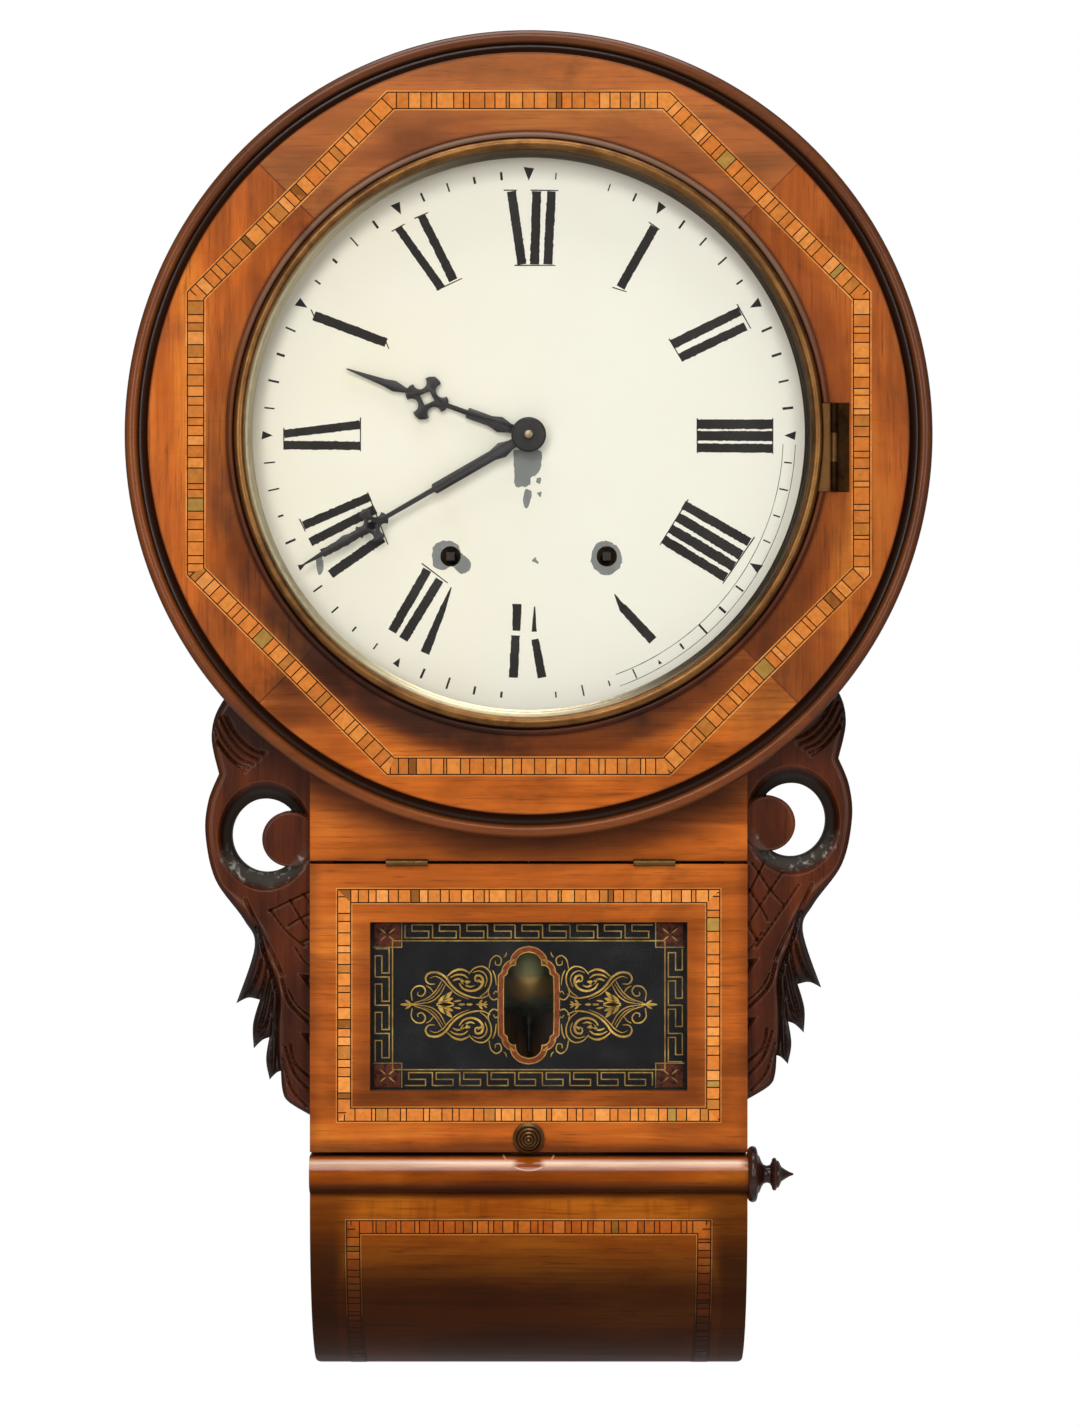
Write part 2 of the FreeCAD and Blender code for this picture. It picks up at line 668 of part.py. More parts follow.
def hand_shape(length, cross, start, bore, spread):
    """A pierced hand with a barbed cross, pointing up from the dial axis."""
    thick = float(S.hand_thick)
    start = float(start)
    length = float(length)
    cross = float(cross)
    hub = float(S.hub_radius) * 0.86

    def plate(points):
        spots = [Vector(x, -start, z) for x, z in points]
        return Part.Face(Part.makePolygon(spots + spots[:1])).extrude(Vector(0, -thick, 0))

    def disc(x, z, radius):
        return Part.makeCylinder(radius, thick, Vector(x, -start, z), Vector(0, -1, 0))

    def both_sides(edge):
        return edge + [(-x, z) for x, z in reversed(edge)]

    arm = 12.3 * spread
    barb = 11.1 * spread
    flare = 3.0 * spread
    bite = 3.6 * spread
    stem = both_sides([(2.4, 0), (2.6, 11), (4.3, 16.5), (2.9, 22), (2.9, cross * 0.6), (1.4, cross * 0.61),
                       (1.2, cross)])
    tip_start = cross + arm
    spear = both_sides([(1.2, cross), (1.4, tip_start), (3.0, tip_start + 6.5), (2.0, tip_start + 12),
                        (0.4, length)])
    corners = []
    for c, s in ((1, 0), (0, 1), (-1, 0), (0, -1)):
        for x, z in ((barb, -flare), (arm, 0), (barb, flare)):
            corners.append((x * c - z * s, cross + x * s + z * c))
    star = plate(corners)
    away = 6.5 * spread
    bites = [disc(sx * away, cross + sz * away, bite) for sx in (-1, 1) for sz in (-1, 1)]
    hole = 4.0 * spread
    eye = plate([(hole, cross), (0, cross + hole), (-hole, cross), (0, cross - hole)])
    hand = disc(0, 0, hub).multiFuse([plate(stem), plate(spear), star.cut(bites[0].multiFuse(bites[1:]))])
    return hand.cut(eye).cut(disc(0, 0, float(bore))).removeSplitter()


def toothed(teeth, radius, depth, thick, phase, bore=0.0, foot=0.5):
    """A wheel with flat-sided teeth about a forwards axis; radius is at the pitch line."""
    module = 2 * radius / teeth
    step = 2 * math.pi / teeth
    root = radius - 1.3 * module
    tip = radius + 0.85 * module
    profile = [(-foot, root), (-0.09, tip), (0.09, tip)]
    if foot < 0.5:
        profile.append((foot, root))
    points = []
    for tooth in range(teeth):
        for turn, reach in profile:
            angle = phase + (tooth + turn) * step
            points.append(Vector(reach * math.cos(angle), -depth, reach * math.sin(angle)))
    wheel = Part.Face(Part.makePolygon(points + points[:1])).extrude(Vector(0, -thick, 0))
    if bore:
        wheel = wheel.cut(pin(bore, depth - 1, thick + 2))
    return wheel


def pin(radius, depth, length, x=0.0, z=0.0):
    """A round solid that runs forwards from a depth."""
    return Part.makeCylinder(float(radius), float(length), Vector(x, -float(depth), z), Vector(0, -1, 0))


def lantern(leaves, radius, depth, long, phase):
    """A pinion of round wires between two discs."""
    pitch = 2 * math.pi * radius / leaves
    wire = 0.13 * pitch
    parts = [pin(radius + wire + 0.4, depth, 1.0), pin(radius + wire + 0.4, depth + long - 1.0, 1.0)]
    for leaf in range(leaves):
        angle = phase + leaf * 2 * math.pi / leaves
        parts.append(pin(wire, depth + 0.5, long - 1.0, radius * math.cos(angle), radius * math.sin(angle)))
    return parts


def driven_phase(theta, wheel_radius, wheel_phase, pinion_radius, teeth):
    """Phase that puts a pinion's leaves midway between the teeth of the wheel that drives it."""
    pitch = 2 * math.pi * wheel_radius / teeth
    return theta + math.pi - (wheel_radius * (wheel_phase - theta) + pitch / 2) / pinion_radius


def mesh(wheel_spot, pinion_spot, teeth, leaves):
    """Pitch radii and direction for a wheel and the pinion it drives."""
    across = pinion_spot[0] - wheel_spot[0]
    up = pinion_spot[1] - wheel_spot[1]
    distance = math.hypot(across, up)
    theta = math.atan2(up, across)
    return distance * teeth / (teeth + leaves), distance * leaves / (teeth + leaves), theta


def arbor(extra, from_depth=None):
    """A train arbor with pivots in both plates, and the solids that it carries."""
    start = float(S.back_plate_depth if from_depth is None else from_depth)
    end = float(S.front_plate_depth + S.plate_thick)
    inner = float(S.back_plate_depth + S.plate_thick) + 0.3
    outer = float(S.front_plate_depth) - 0.3
    pivot = float(S.pivot_radius)
    solids = [pin(pivot, start, end - start), pin(pivot * 1.1, inner, outer - inner)]
    return solids[0].multiFuse(solids[1:] + extra).removeSplitter()


def spiral_ribbon(inner, outer, turns, thick, depth, wide):
    """A flat spring: half-circles of growing radius, in the plane of the dial."""
    grow = (outer - inner) / (2 * turns)

    def side(offset):
        edges = []
        for half_turn in range(2 * turns):
            radius = inner + grow * half_turn + offset
            centre = grow if half_turn % 2 else 0.0
            sign = -1 if half_turn % 2 else 1
            spots = [Vector(centre + sign * radius, -depth, 0), Vector(centre, -depth, sign * radius),
                     Vector(centre - sign * radius, -depth, 0)]
            edges.append(Part.Arc(*spots).toShape())
        return edges

    near = side(-thick / 2)
    far = side(thick / 2)
    ends = [Part.makeLine(near[0].valueAt(near[0].FirstParameter), far[0].valueAt(far[0].FirstParameter)),
            Part.makeLine(near[-1].valueAt(near[-1].LastParameter), far[-1].valueAt(far[-1].LastParameter))]
    face = Part.Face(Part.Wire(Part.__sortEdges__(near + far + ends)))
    return face.extrude(Vector(0, -wide, 0))


def build_movement():
    back = float(S.back_plate_depth)
    front = float(S.front_plate_depth)
    plate = float(S.plate_thick)
    play = S.pivot_radius + S.pivot_play
    half = S.plate_half_width
    spots = {
        "time_main": (S.winding_x, -S.winding_drop), "strike_main": (-S.winding_x, -S.winding_drop),
        "second": (S.second_x, -S.second_drop), "centre": (0.0, 0.0), "third": (-S.third_x, S.third_rise),
        "escape": (0.0, S.escape_rise), "anchor": (0.0, S.anchor_rise),
        "strike_second": (-S.strike_second_x, -S.strike_second_drop),
        "strike_third": (-S.strike_third_x, -S.strike_third_drop), "fly": (-S.fly_x, S.fly_rise),
        "hammer": (-S.hammer_x, S.hammer_rise)}
    bores = [(*spot, play) for name, spot in spots.items() if not name.endswith("main")]
    pillars = [(sign * x, z) for x, z in ((S.pillar_top_x, S.pillar_top), (S.pillar_low_x, -S.pillar_drop))
               for sign in (-1.0, 1.0)]
    outline = oblong((-half, half), (-S.plate_drop, S.plate_top))
    tenons = [(x, z, 2.0) for x, z in pillars]
    for name, depth, main_bore, centre_bore in (("movement_back_plate", S.back_plate_depth, play, play),
                                                ("movement_front_plate", S.front_plate_depth, 3.1, 1.9)):
        mains = [(*spots[key], main_bore) for key in ("time_main", "strike_main")]
        others = [hole for hole in bores if hole[:2] != (0.0, 0.0)] + [(0.0, 0.0, centre_bore)]
        if name == "movement_front_plate":
            others.append((S.motion_x, -S.motion_drop, 1.5))
        keep(name, sawn(name, "XZ_Plane", depth, S.plate_thick, [outline], mains + others + tenons))

    wall = S.back_thick
    columns = []
    nuts = []
    for number, (x, z) in enumerate(pillars):
        deep = S.front_plate_depth
        columns.append(lathe(f"pillar_{number}", [
            (wall, 0), (wall, 4.0), (S.back_plate_depth, 4.0), (S.back_plate_depth, 2.0),
            (S.back_plate_depth + S.plate_thick, 2.0), (S.back_plate_depth + S.plate_thick, 3.5), (deep, 3.5),
            (deep, 2.0), (deep + S.plate_thick + 3.0, 2.0), (deep + S.plate_thick + 3.0, 0)], (x, 0, z)))
        nut = doc.addObject("Part::Prism", f"pillar_nut_stock_{number}")
        nut.Polygon = 6
        nut.Circumradius = 4.2
        nut.Height = 2.4
        place(nut, (x, -deep - S.plate_thick, z), FRONT)
        eye = rod(f"pillar_nut_bore_{number}", (x, 1.0 - deep - S.plate_thick, z), FRONT, 2.0, 5.0)
        nuts.append(cut(f"pillar_nut_{number}", nut, eye))
    keep("movement_pillars", group("movement_pillars", columns))
    keep("movement_nuts", group("movement_nuts", nuts))

    def train(label, key, solids, turn=UPRIGHT):
        x, z = spots[key]
        keep(label, feature(label, solids, (x, 0, z), turn))

    main_teeth = 48
    second_teeth = 48
    third_teeth = 60
    escape_teeth = 42
    leaves = 8
    escape_leaves = 6
    wheel = 1.6
    main_depth = back + plate + 5.0
    second_depth = front - 4.0
    spring_start = main_depth + 6.0
    post_radius = 2.0
    post_reach = S.spring_radius + S.spring_thick / 2 + post_radius
    studs = [rod("motion_stud", (S.motion_x, -S.front_plate_depth, -S.motion_drop), FRONT, 1.5, 16.0)]
    for label, key, after, turn, away in (
            ("time", "time_main", "second", UPRIGHT, 1.0),
            ("strike", "strike_main", "strike_second", Rotation(Vector(0, 1, 0), 180), -1.0)):
        big, small, theta = mesh(spots[key], spots[after], main_teeth, leaves)
        great = toothed(main_teeth, big, main_depth, wheel, theta, 3.08)
        ring = pin(big * 0.72, main_depth - 1, 4.0).cut(pin(big * 0.34, main_depth - 1, 4.0))
        spokes = [Part.makeBox(5, 8, big * 2, Vector(-2.5, -main_depth - 5, -big)) for _ in range(2)]
        spokes[1].rotate(Vector(), Vector(0, 1, 0), 90)
        great = great.cut(ring.cut(spokes[0].fuse(spokes[1])))
        train(f"{label}_main_wheel", key, great)
        ratchet = toothed(20, 9.5, main_depth + wheel + 0.3, 1.8, 0.0)
        shaft_end = front + plate + 2.0
        square_end = float(S.dial_depth + S.dial_thick) + 1.0
        square = Part.makeBox(4.4, square_end - shaft_end, 4.4, Vector(-2.2, -square_end, -2.2))
        shaft = pin(3.0, back + plate + 0.3, shaft_end - back - plate)
        stub = pin(float(S.pivot_radius), back, plate + 1.0)
        train(f"{label}_winding_arbor", key, shaft.multiFuse([stub, ratchet, square]).removeSplitter())
        spring = spiral_ribbon(float(S.spring_inner), float(S.spring_radius), 8, float(S.spring_thick),
                               spring_start, float(S.spring_wide))
        train(f"{label}_mainspring", key, spring, turn)
        x, z = spots[key]
        studs.append(rod(f"{label}_spring_post", (x + away * post_reach, -spring_start, z), FRONT,
                         post_radius, S.front_plate_depth - spring_start))
    keep("plate_studs", group("plate_studs", studs))

    main_big, small, theta = mesh(spots["time_main"], spots["second"], main_teeth, leaves)
    big, centre_small, onward = mesh(spots["second"], spots["centre"], second_teeth, leaves)
    leaf_phase = driven_phase(theta, main_big, theta, small, main_teeth)
    train("second_wheel", "second", arbor([
        toothed(second_teeth, big, second_depth, wheel, onward),
        *lantern(leaves, small, main_depth - 2.2, 6.0, leaf_phase)]))

    centre_phase = driven_phase(onward, big, onward, centre_small, second_teeth)
    centre_depth = back + plate + 15.0
    centre_big, third_small, theta = mesh(spots["centre"], spots["third"], third_teeth, leaves)
    front_end = float(S.minute_hand_depth + S.hand_thick) - 0.4
    train("centre_wheel", "centre", arbor([
        toothed(third_teeth, centre_big, centre_depth, wheel, theta),
        *lantern(leaves, centre_small, second_depth - 1.9, 5.4, centre_phase),
        pin(1.8, front - 0.3, front_end - front + 0.3)]))

    third_phase = driven_phase(theta, centre_big, theta, third_small, third_teeth)
    third_depth = back + plate + 24.0
    third_big, escape_small, onward = mesh(spots["third"], spots["escape"], third_teeth, escape_leaves)
    train("third_wheel", "third", arbor([
        toothed(third_teeth, third_big, third_depth, wheel, onward),
        *lantern(leaves, third_small, centre_depth - 2.0, 5.4, third_phase)]))

    escape_phase = driven_phase(onward, third_big, onward, escape_small, third_teeth)
    escape_depth = back + plate + 7.5
    escape_radius = 14.0
    step = 2 * math.pi / escape_teeth
    saw = []
    for tooth in range(escape_teeth):
        for turn, reach in ((0.0, escape_radius - 2.4), (0.55, escape_radius), (0.68, escape_radius)):
            angle = (tooth + turn) * step
            saw.append(Vector(reach * math.cos(angle), -escape_depth, reach * math.sin(angle)))
    blades = Part.Face(Part.makePolygon(saw + saw[:1])).extrude(Vector(0, -1.2, 0))
    train("escape_wheel", "escape", arbor([
        blades, *lantern(escape_leaves, escape_small, third_depth - 2.0, 5.4, escape_phase)]))

    lift = float(S.anchor_rise - S.escape_rise)
    nib = escape_radius + 1.5
    nib_x = nib * math.cos(math.radians(48))
    nib_z = nib * math.sin(math.radians(48)) - lift
    arch = [(0, 2.6), (nib_x + 2.4, nib_z + 3.6), (nib_x + 2.6, nib_z - 0.6), (nib_x, nib_z), (0, -2.2)]
    arch += [(-x, z) for x, z in reversed(arch[1:-1])]
    crown = [Vector(x, -escape_depth + 1.0, z) for x, z in arch]
    anchor = Part.Face(Part.makePolygon(crown + crown[:1])).extrude(Vector(0, -3.2, 0))
    hang = float(S.pendulum_depth)
    fork_drop = 34.0
    crutch_depth = back - 4.0
    crutch = Part.makeBox(3.0, 1.4, fork_drop, Vector(-1.5, -crutch_depth - 1.4, -fork_drop))
    rod_radius = float(S.rod_radius)
    yoke = Part.makeBox(2 * rod_radius + 3.4, 1.4, 4.0,
                        Vector(-rod_radius - 1.7, -crutch_depth - 1.4, -fork_drop - 2.0))
    prongs = [Part.makeBox(1.4, crutch_depth - hang + rod_radius + 2.5, 4.0,
                           Vector(x, -crutch_depth - 1.0, -fork_drop - 2.0))
              for x in (-rod_radius - 1.7, rod_radius + 0.3)]
    train("anchor", "anchor", arbor([anchor, crutch, yoke] + prongs, crutch_depth))

    main_big, small, theta = mesh(spots["strike_main"], spots["strike_second"], main_teeth, leaves)
    big, third_small, onward = mesh(spots["strike_second"], spots["strike_third"], second_teeth, leaves)
    leaf_phase = driven_phase(theta, main_big, theta, small, main_teeth)
    train("strike_second_wheel", "strike_second", arbor([
        toothed(second_teeth, big, second_depth, wheel, onward),
        *lantern(leaves, small, main_depth - 2.2, 6.0, leaf_phase)]))
    third_phase = driven_phase(onward, big, onward, third_small, second_teeth)
    strike_depth = back + plate + 19.2
    third_big, fly_small, theta = mesh(spots["strike_third"], spots["fly"], second_teeth, escape_leaves)
    lifters = [pin(0.8, strike_depth - 3.2, 3.6, 11.0 * math.cos(a), 11.0 * math.sin(a))
               for a in (math.radians(45 * n) for n in range(8))]
    train("strike_third_wheel", "strike_third", arbor([
        toothed(second_teeth, third_big, strike_depth, wheel, theta),
        *lantern(leaves, third_small, second_depth - 1.9, 5.4, third_phase), *lifters]))
    fly_phase = driven_phase(theta, third_big, theta, fly_small, second_teeth)
    vane = Part.makeBox(22.0, 11.0, 0.8, Vector(-11.0, -back - plate - 15.0, -0.4))
    train("fly", "fly", arbor([
        vane, *lantern(escape_leaves, fly_small, strike_depth - 2.0, 5.4, fly_phase)]))

    gong_left = float(S.gong_x + S.gong_radius + S.gong_wire)
    head_drop = float(S.gong_drop) - 6.0 + float(S.hammer_rise)
    head_x = float(S.hammer_x) - gong_left - 1.0
    plane = float(S.gong_depth)
    arm = Part.makeCylinder(1.2, math.hypot(head_drop, head_x - 6.0), Vector(0, -plane, 0),
                            Vector(head_x - 6.0, 0, -head_drop))
    head = Part.makeCylinder(4.5, 12.0, Vector(head_x - 12.0, -plane, -head_drop), Vector(1, 0, 0))
    tail_x = spots["strike_third"][0] - spots["hammer"][0]
    tail_z = spots["strike_third"][1] - spots["hammer"][1]
    tail_long = math.hypot(tail_x, tail_z) - 13.2
    tail = Part.makeBox(tail_long, 1.4, 2.4, Vector(0, -strike_depth + 1.2, -1.2))
    tail.rotate(Vector(), Vector(0, 1, 0), -math.degrees(math.atan2(tail_z, tail_x)))
    train("hammer", "hammer", arbor([arm, head, tail], plane - 1.5))

    train("suspension_cock", "anchor", Part.makeBox(14, back - 12.0, 6.0, Vector(-7, -back, 3.0)).multiFuse([
        Part.makeBox(5.0, 9.0, 3.0, Vector(-2.5, -hang - 4.5, 0.3))]).removeSplitter())
    length = float(S.anchor_rise + S.bob_drop)
    end = length + float(S.bob_radius) + 20.0
    strip = Part.makeBox(0.4, 8.0, 16.0, Vector(-0.2, -hang - 4.0, -16.0))
    clip = Part.makeBox(4.4, 8.0, 7.0, Vector(-2.2, -hang - 4.0, -23.0))
    stem = Part.makeCylinder(rod_radius, end - 20.0, Vector(0, -hang, -end), Vector(0, 0, 1))
    train("pendulum_rod", "anchor", strip.multiFuse([clip, stem]).removeSplitter())

    spot = (0, -S.pendulum_depth, -S.bob_drop)
    bob_half = S.bob_thick / 2
    bob = lathe("pendulum_bob", [(-bob_half, 0), (-bob_half, 8.0), (-1.2, S.bob_radius), (1.2, S.bob_radius),
                                 (bob_half, 8.0), (bob_half, 0)], spot)
    sketch = sketch_on(bob, "XY_Plane", -S.bob_radius - 1.0, circles=[(0, 0, S.rod_radius)])
    drill = bob.newObject("PartDesign::Pocket", "pendulum_bob_drill")
    drill.Profile = sketch
    drill.Reversed = True
    bind(drill, "Length", 2 * S.bob_radius + 2.0)
    keep("pendulum_bob", bob)
    nut_stock = rod("rating_nut_stock", (0, -S.pendulum_depth, -S.bob_drop - S.bob_radius - 5.1), UPRIGHT,
                    4.5, 5.0)
    nut_bore = rod("rating_nut_bore", (0, -S.pendulum_depth, -S.bob_drop - S.bob_radius - 6.1), UPRIGHT,
                   S.rod_radius + 0.06, 8.0)
    keep("rating_nut", cut("rating_nut", nut_stock, nut_bore))

    keep("gong_block", rod("gong_block", (-S.gong_x, -S.back_thick, -S.gong_drop), FRONT, 5.98,
                           S.gong_depth + 3.5 - S.back_thick))
    coil = spiral_wire(6.0 + float(S.gong_wire), float(S.gong_radius), 4)
    ring = Part.Wire(Part.makeCircle(float(S.gong_wire), coil.Vertexes[0].Point, Vector(0, 0, 1)))
    sweep = Part.BRepOffsetAPI.MakePipeShell(coil)
    sweep.add(ring)
    sweep.build()
    sweep.makeSolid()
    keep("gong_coil", feature("gong_coil", sweep.shape(), (-S.gong_x, -S.gong_depth, -S.gong_drop)))


def spiral_wire(inner, outer, turns):
    """The gong's coil: half-circles of growing radius about two near centres."""
    grow = (outer - inner) / (2 * turns - 1)
    edges = []
    for half_turn in range(2 * turns):
        radius = inner + grow * half_turn
        centre = grow if half_turn % 2 else 0.0
        sign = -1 if half_turn % 2 else 1
        edges.append(Part.Arc(Vector(centre + sign * radius, 0, 0), Vector(centre, 0, sign * radius),
                              Vector(centre - sign * radius, 0, 0)).toShape())
    return Part.Wire(edges)


def build_hands():
    minute_turn = Rotation(Vector(0, 1, 0), 240)
    hour_turn = Rotation(Vector(0, 1, 0), 290)
    plate_front = float(S.front_plate_depth + S.plate_thick)
    hour_front = float(S.hour_hand_depth + S.hand_thick)
    minute_front = float(S.minute_hand_depth + S.hand_thick)
    keep("minute_hand", feature("minute_hand", hand_shape(
        S.minute_hand_length, S.minute_hand_length - S.minute_hand_tip, S.minute_hand_depth, 2.8, 0.8),
        (0, 0, 0), minute_turn))
    keep("hour_hand", feature("hour_hand", hand_shape(
        S.hour_hand_length, S.hour_hand_length - S.hour_hand_tip, S.hour_hand_depth, 4.2, 1.0), (0, 0, 0),
        hour_turn))
    cap_back = S.minute_hand_depth + S.hand_thick
    keep("hand_cap", lathe("hand_cap", [
        (cap_back, 0), (cap_back, S.hub_radius), (cap_back + 0.8, S.hub_radius, -1.0),
        (cap_back + 1.5, S.hub_radius - 1.0), (cap_back + 1.5, 2.0), (cap_back + 3.4, 1.6),
        (cap_back + 3.4, 0)]))

    away = (float(S.motion_x), -float(S.motion_drop))
    distance = math.hypot(*away)
    theta = math.atan2(away[1], away[0])
    cannon_teeth = 10
    minute_teeth = 30
    pinion_teeth = 8
    hour_teeth = 32
    cannon_radius = distance * cannon_teeth / (cannon_teeth + minute_teeth)
    pinion_radius = distance * pinion_teeth / (pinion_teeth + hour_teeth)
    first = plate_front + 3.0
    second = plate_front + 9.0
    minute_phase = driven_phase(theta, cannon_radius, theta, distance - cannon_radius, cannon_teeth)
    pinion_phase = driven_phase(theta, distance - pinion_radius, theta, pinion_radius, hour_teeth)
    pipe = pin(2.8, plate_front + 0.6, minute_front - plate_front - 0.6)
    cannon = toothed(cannon_teeth, cannon_radius, first, 4.0, theta, foot=0.3)
    keep("cannon_pinion", feature("cannon_pinion", pipe.fuse(cannon).cut(
        pin(1.88, plate_front, minute_front - plate_front + 1)).removeSplitter()))
    sleeve = pin(4.2, second - 0.5, hour_front - second + 0.5)
    hour = toothed(hour_teeth, distance - pinion_radius, second, 1.4, theta, foot=0.3)
    keep("hour_wheel", feature("hour_wheel", sleeve.fuse(hour).cut(
        pin(2.88, second - 1, hour_front - second + 2)).removeSplitter()))
    wheel = toothed(minute_teeth, distance - cannon_radius, first + 1.0, 1.4, minute_phase, foot=0.3)
    pinion = toothed(pinion_teeth, pinion_radius, first + 2.4, second - first + 2.0, pinion_phase, foot=0.3)
    keep("minute_wheel", feature("minute_wheel", wheel.fuse(pinion).cut(
        pin(1.58, first, 16.0)).removeSplitter(), (S.motion_x, 0, -S.motion_drop)))


build_case()
build_surround()
build_ears()
build_bezel()
build_door()
build_movement()
build_hands()
doc.recompute()

faults = [item.Label for item in doc.Objects if "Invalid" in item.State or "Error" in item.State]
faults += [label for label, piece in PIECES.items() if piece.Shape.isNull() or not piece.Shape.isValid()]
if faults:
    raise RuntimeError("these did not build: " + ", ".join(faults))
os.makedirs("parts", exist_ok=True)
for label, piece in PIECES.items():
    piece.Shape.exportStep(f"parts/{label}.step")
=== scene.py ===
"""Dresses the solids of a drop dial wall clock: woods, parquetry, dial, carving and painted glass."""

import json
import math

import bmesh
import bpy
import numpy as np
from bpy.props import FloatProperty, FloatVectorProperty, IntProperty, PointerProperty
from mathutils import Matrix, Vector, geometry, noise

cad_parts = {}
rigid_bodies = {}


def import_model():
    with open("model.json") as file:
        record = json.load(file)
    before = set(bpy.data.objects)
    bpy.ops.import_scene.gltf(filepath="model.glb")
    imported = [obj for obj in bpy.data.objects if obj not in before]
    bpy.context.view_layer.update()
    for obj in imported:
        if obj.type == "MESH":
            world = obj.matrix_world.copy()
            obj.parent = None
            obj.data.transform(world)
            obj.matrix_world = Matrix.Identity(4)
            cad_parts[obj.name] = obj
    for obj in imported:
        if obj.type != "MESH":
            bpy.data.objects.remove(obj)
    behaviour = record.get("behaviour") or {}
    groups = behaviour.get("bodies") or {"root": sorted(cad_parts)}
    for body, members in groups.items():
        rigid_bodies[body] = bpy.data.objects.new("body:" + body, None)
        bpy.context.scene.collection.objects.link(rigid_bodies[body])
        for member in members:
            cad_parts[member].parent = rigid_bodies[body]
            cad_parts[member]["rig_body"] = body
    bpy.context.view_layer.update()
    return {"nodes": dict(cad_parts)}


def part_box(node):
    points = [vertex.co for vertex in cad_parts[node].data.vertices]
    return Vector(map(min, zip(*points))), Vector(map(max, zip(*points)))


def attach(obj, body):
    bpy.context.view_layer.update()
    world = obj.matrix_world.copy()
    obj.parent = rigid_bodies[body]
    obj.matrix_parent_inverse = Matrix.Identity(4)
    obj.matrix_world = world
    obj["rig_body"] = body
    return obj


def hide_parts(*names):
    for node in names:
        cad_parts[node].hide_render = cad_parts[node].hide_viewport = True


bl_info = {
    "name": "Drop Dial Clock",
    "version": (1, 0, 0),
    "blender": (4, 5, 0),
    "location": "View3D > Sidebar > Clock",
    "description": "Builds the finished surfaces of a drop dial wall clock round its solids",
    "category": "Object",
}

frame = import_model()
MM = 0.001

# Turns that lay a wood's grain level or upright on the front.
LEVEL = (0.0, 0.0, 0.0)
UPRIGHT = (0.0, math.radians(90), 0.0)

# The dial axis and the main planes, read from the solids.
DIAL_LOW, DIAL_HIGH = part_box("dial_plate")
AXIS_Z = (DIAL_LOW.z + DIAL_HIGH.z) / 2
DIAL_FACE = DIAL_LOW.y
INLAY_LOW, INLAY_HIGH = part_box("octagon_inlay")
DOOR_LOW, DOOR_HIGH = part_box("door_frame")
PANE_LOW, PANE_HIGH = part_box("door_glass")
BASE_LOW, BASE_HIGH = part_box("base_front")


def hue(code):
    """A colour in linear light from its web code."""
    parts = [int(code[i:i + 2], 16) / 255 for i in (0, 2, 4)]
    return tuple(c / 12.92 if c <= 0.04045 else ((c + 0.055) / 1.055) ** 2.4 for c in parts)


def paint_prop(name, code, description):
    return FloatVectorProperty(name=name, description=description, default=hue(code), subtype="COLOR",
                               min=0.0, max=1.0)


def length_prop(name, default, description):
    return FloatProperty(name=name, description=description, default=default, unit="LENGTH")


class ClockColours(bpy.types.PropertyGroup):
    """Colours that an owner might change."""

    walnut_light: paint_prop("Walnut Light", "DE8029", "Palest streaks of the case veneer")
    walnut_mid: paint_prop("Walnut", "C4621A", "Main tone of the case veneer")
    walnut_dark: paint_prop("Walnut Dark", "7E3C0C", "Darkest streaks of the case veneer")
    carving: paint_prop("Carving", "5A2508", "Stain of the carved ears")
    cream: paint_prop("Dial Paint", "F5F2E1", "Painted face of the dial")
    ink: paint_prop("Dial Ink", "26221F", "Numerals and minute marks")
    bare_zinc: paint_prop("Bare Dial", "7F817C", "Metal that shows where the dial paint is lost")
    brass: paint_prop("Brass", "94683A", "Aged brass of the bezel")
    gilt: paint_prop("Gilt", "C49A42", "Gilding on the back of the door's glass")
    maroon: paint_prop("Maroon", "8A3E20", "Red ground behind the glass tablet's corners and window")


class ClockSizes(bpy.types.PropertyGroup):
    """Sizes of the finish, beyond those that the solids fix."""

    tile_pitch: length_prop("Tile Pitch", 5.6 * MM, "Mean length of one parquetry block")
    tile_joint: length_prop("Tile Joint", 0.62 * MM, "Dark joint between two parquetry blocks")
    stringing: length_prop("Stringing", 0.7 * MM, "Width of the pale line each side of the parquetry")
    dark_line: length_prop("Dark Line", 0.6 * MM, "Width of the dark line inside the stringing")
    track_inner: length_prop("Track Inner", 136.8 * MM, "Inner line of the minute track")
    track_outer: length_prop("Track Outer", 143.4 * MM, "Outer line of the minute track")
    ink_thick: length_prop("Ink Thickness", 0.05 * MM, "Height of painted marks over the dial")
    carve_detail: length_prop("Carving Detail", 0.55 * MM, "Mesh size of the carved ears")
    tile_seed: IntProperty(name="Tile Seed", description="Picks the order of the parquetry blocks", default=7)


def sizes():
    return bpy.context.scene.clock_sizes


def colours():
    return bpy.context.scene.clock_colours


def spot(x, y, z):
    """A point in metres from millimetres, with x and z taken from the dial axis."""
    return Vector((x * MM, y * MM, AXIS_Z + z * MM))


def feed(tree, socket, source):
    """Links a socket to what drives it, or gives it a plain value."""
    if isinstance(source, bpy.types.NodeSocket):
        tree.links.new(source, socket)
    else:
        socket.default_value = source


def add_node(tree, kind, feeds=None, **settings):
    """Adds one node, with its settings and what feeds its inputs."""
    node = tree.nodes.new(kind)
    for key, choice in settings.items():
        setattr(node, key, choice)
    for key, source in (feeds or {}).items():
        feed(tree, node.inputs[key], source)
    return node


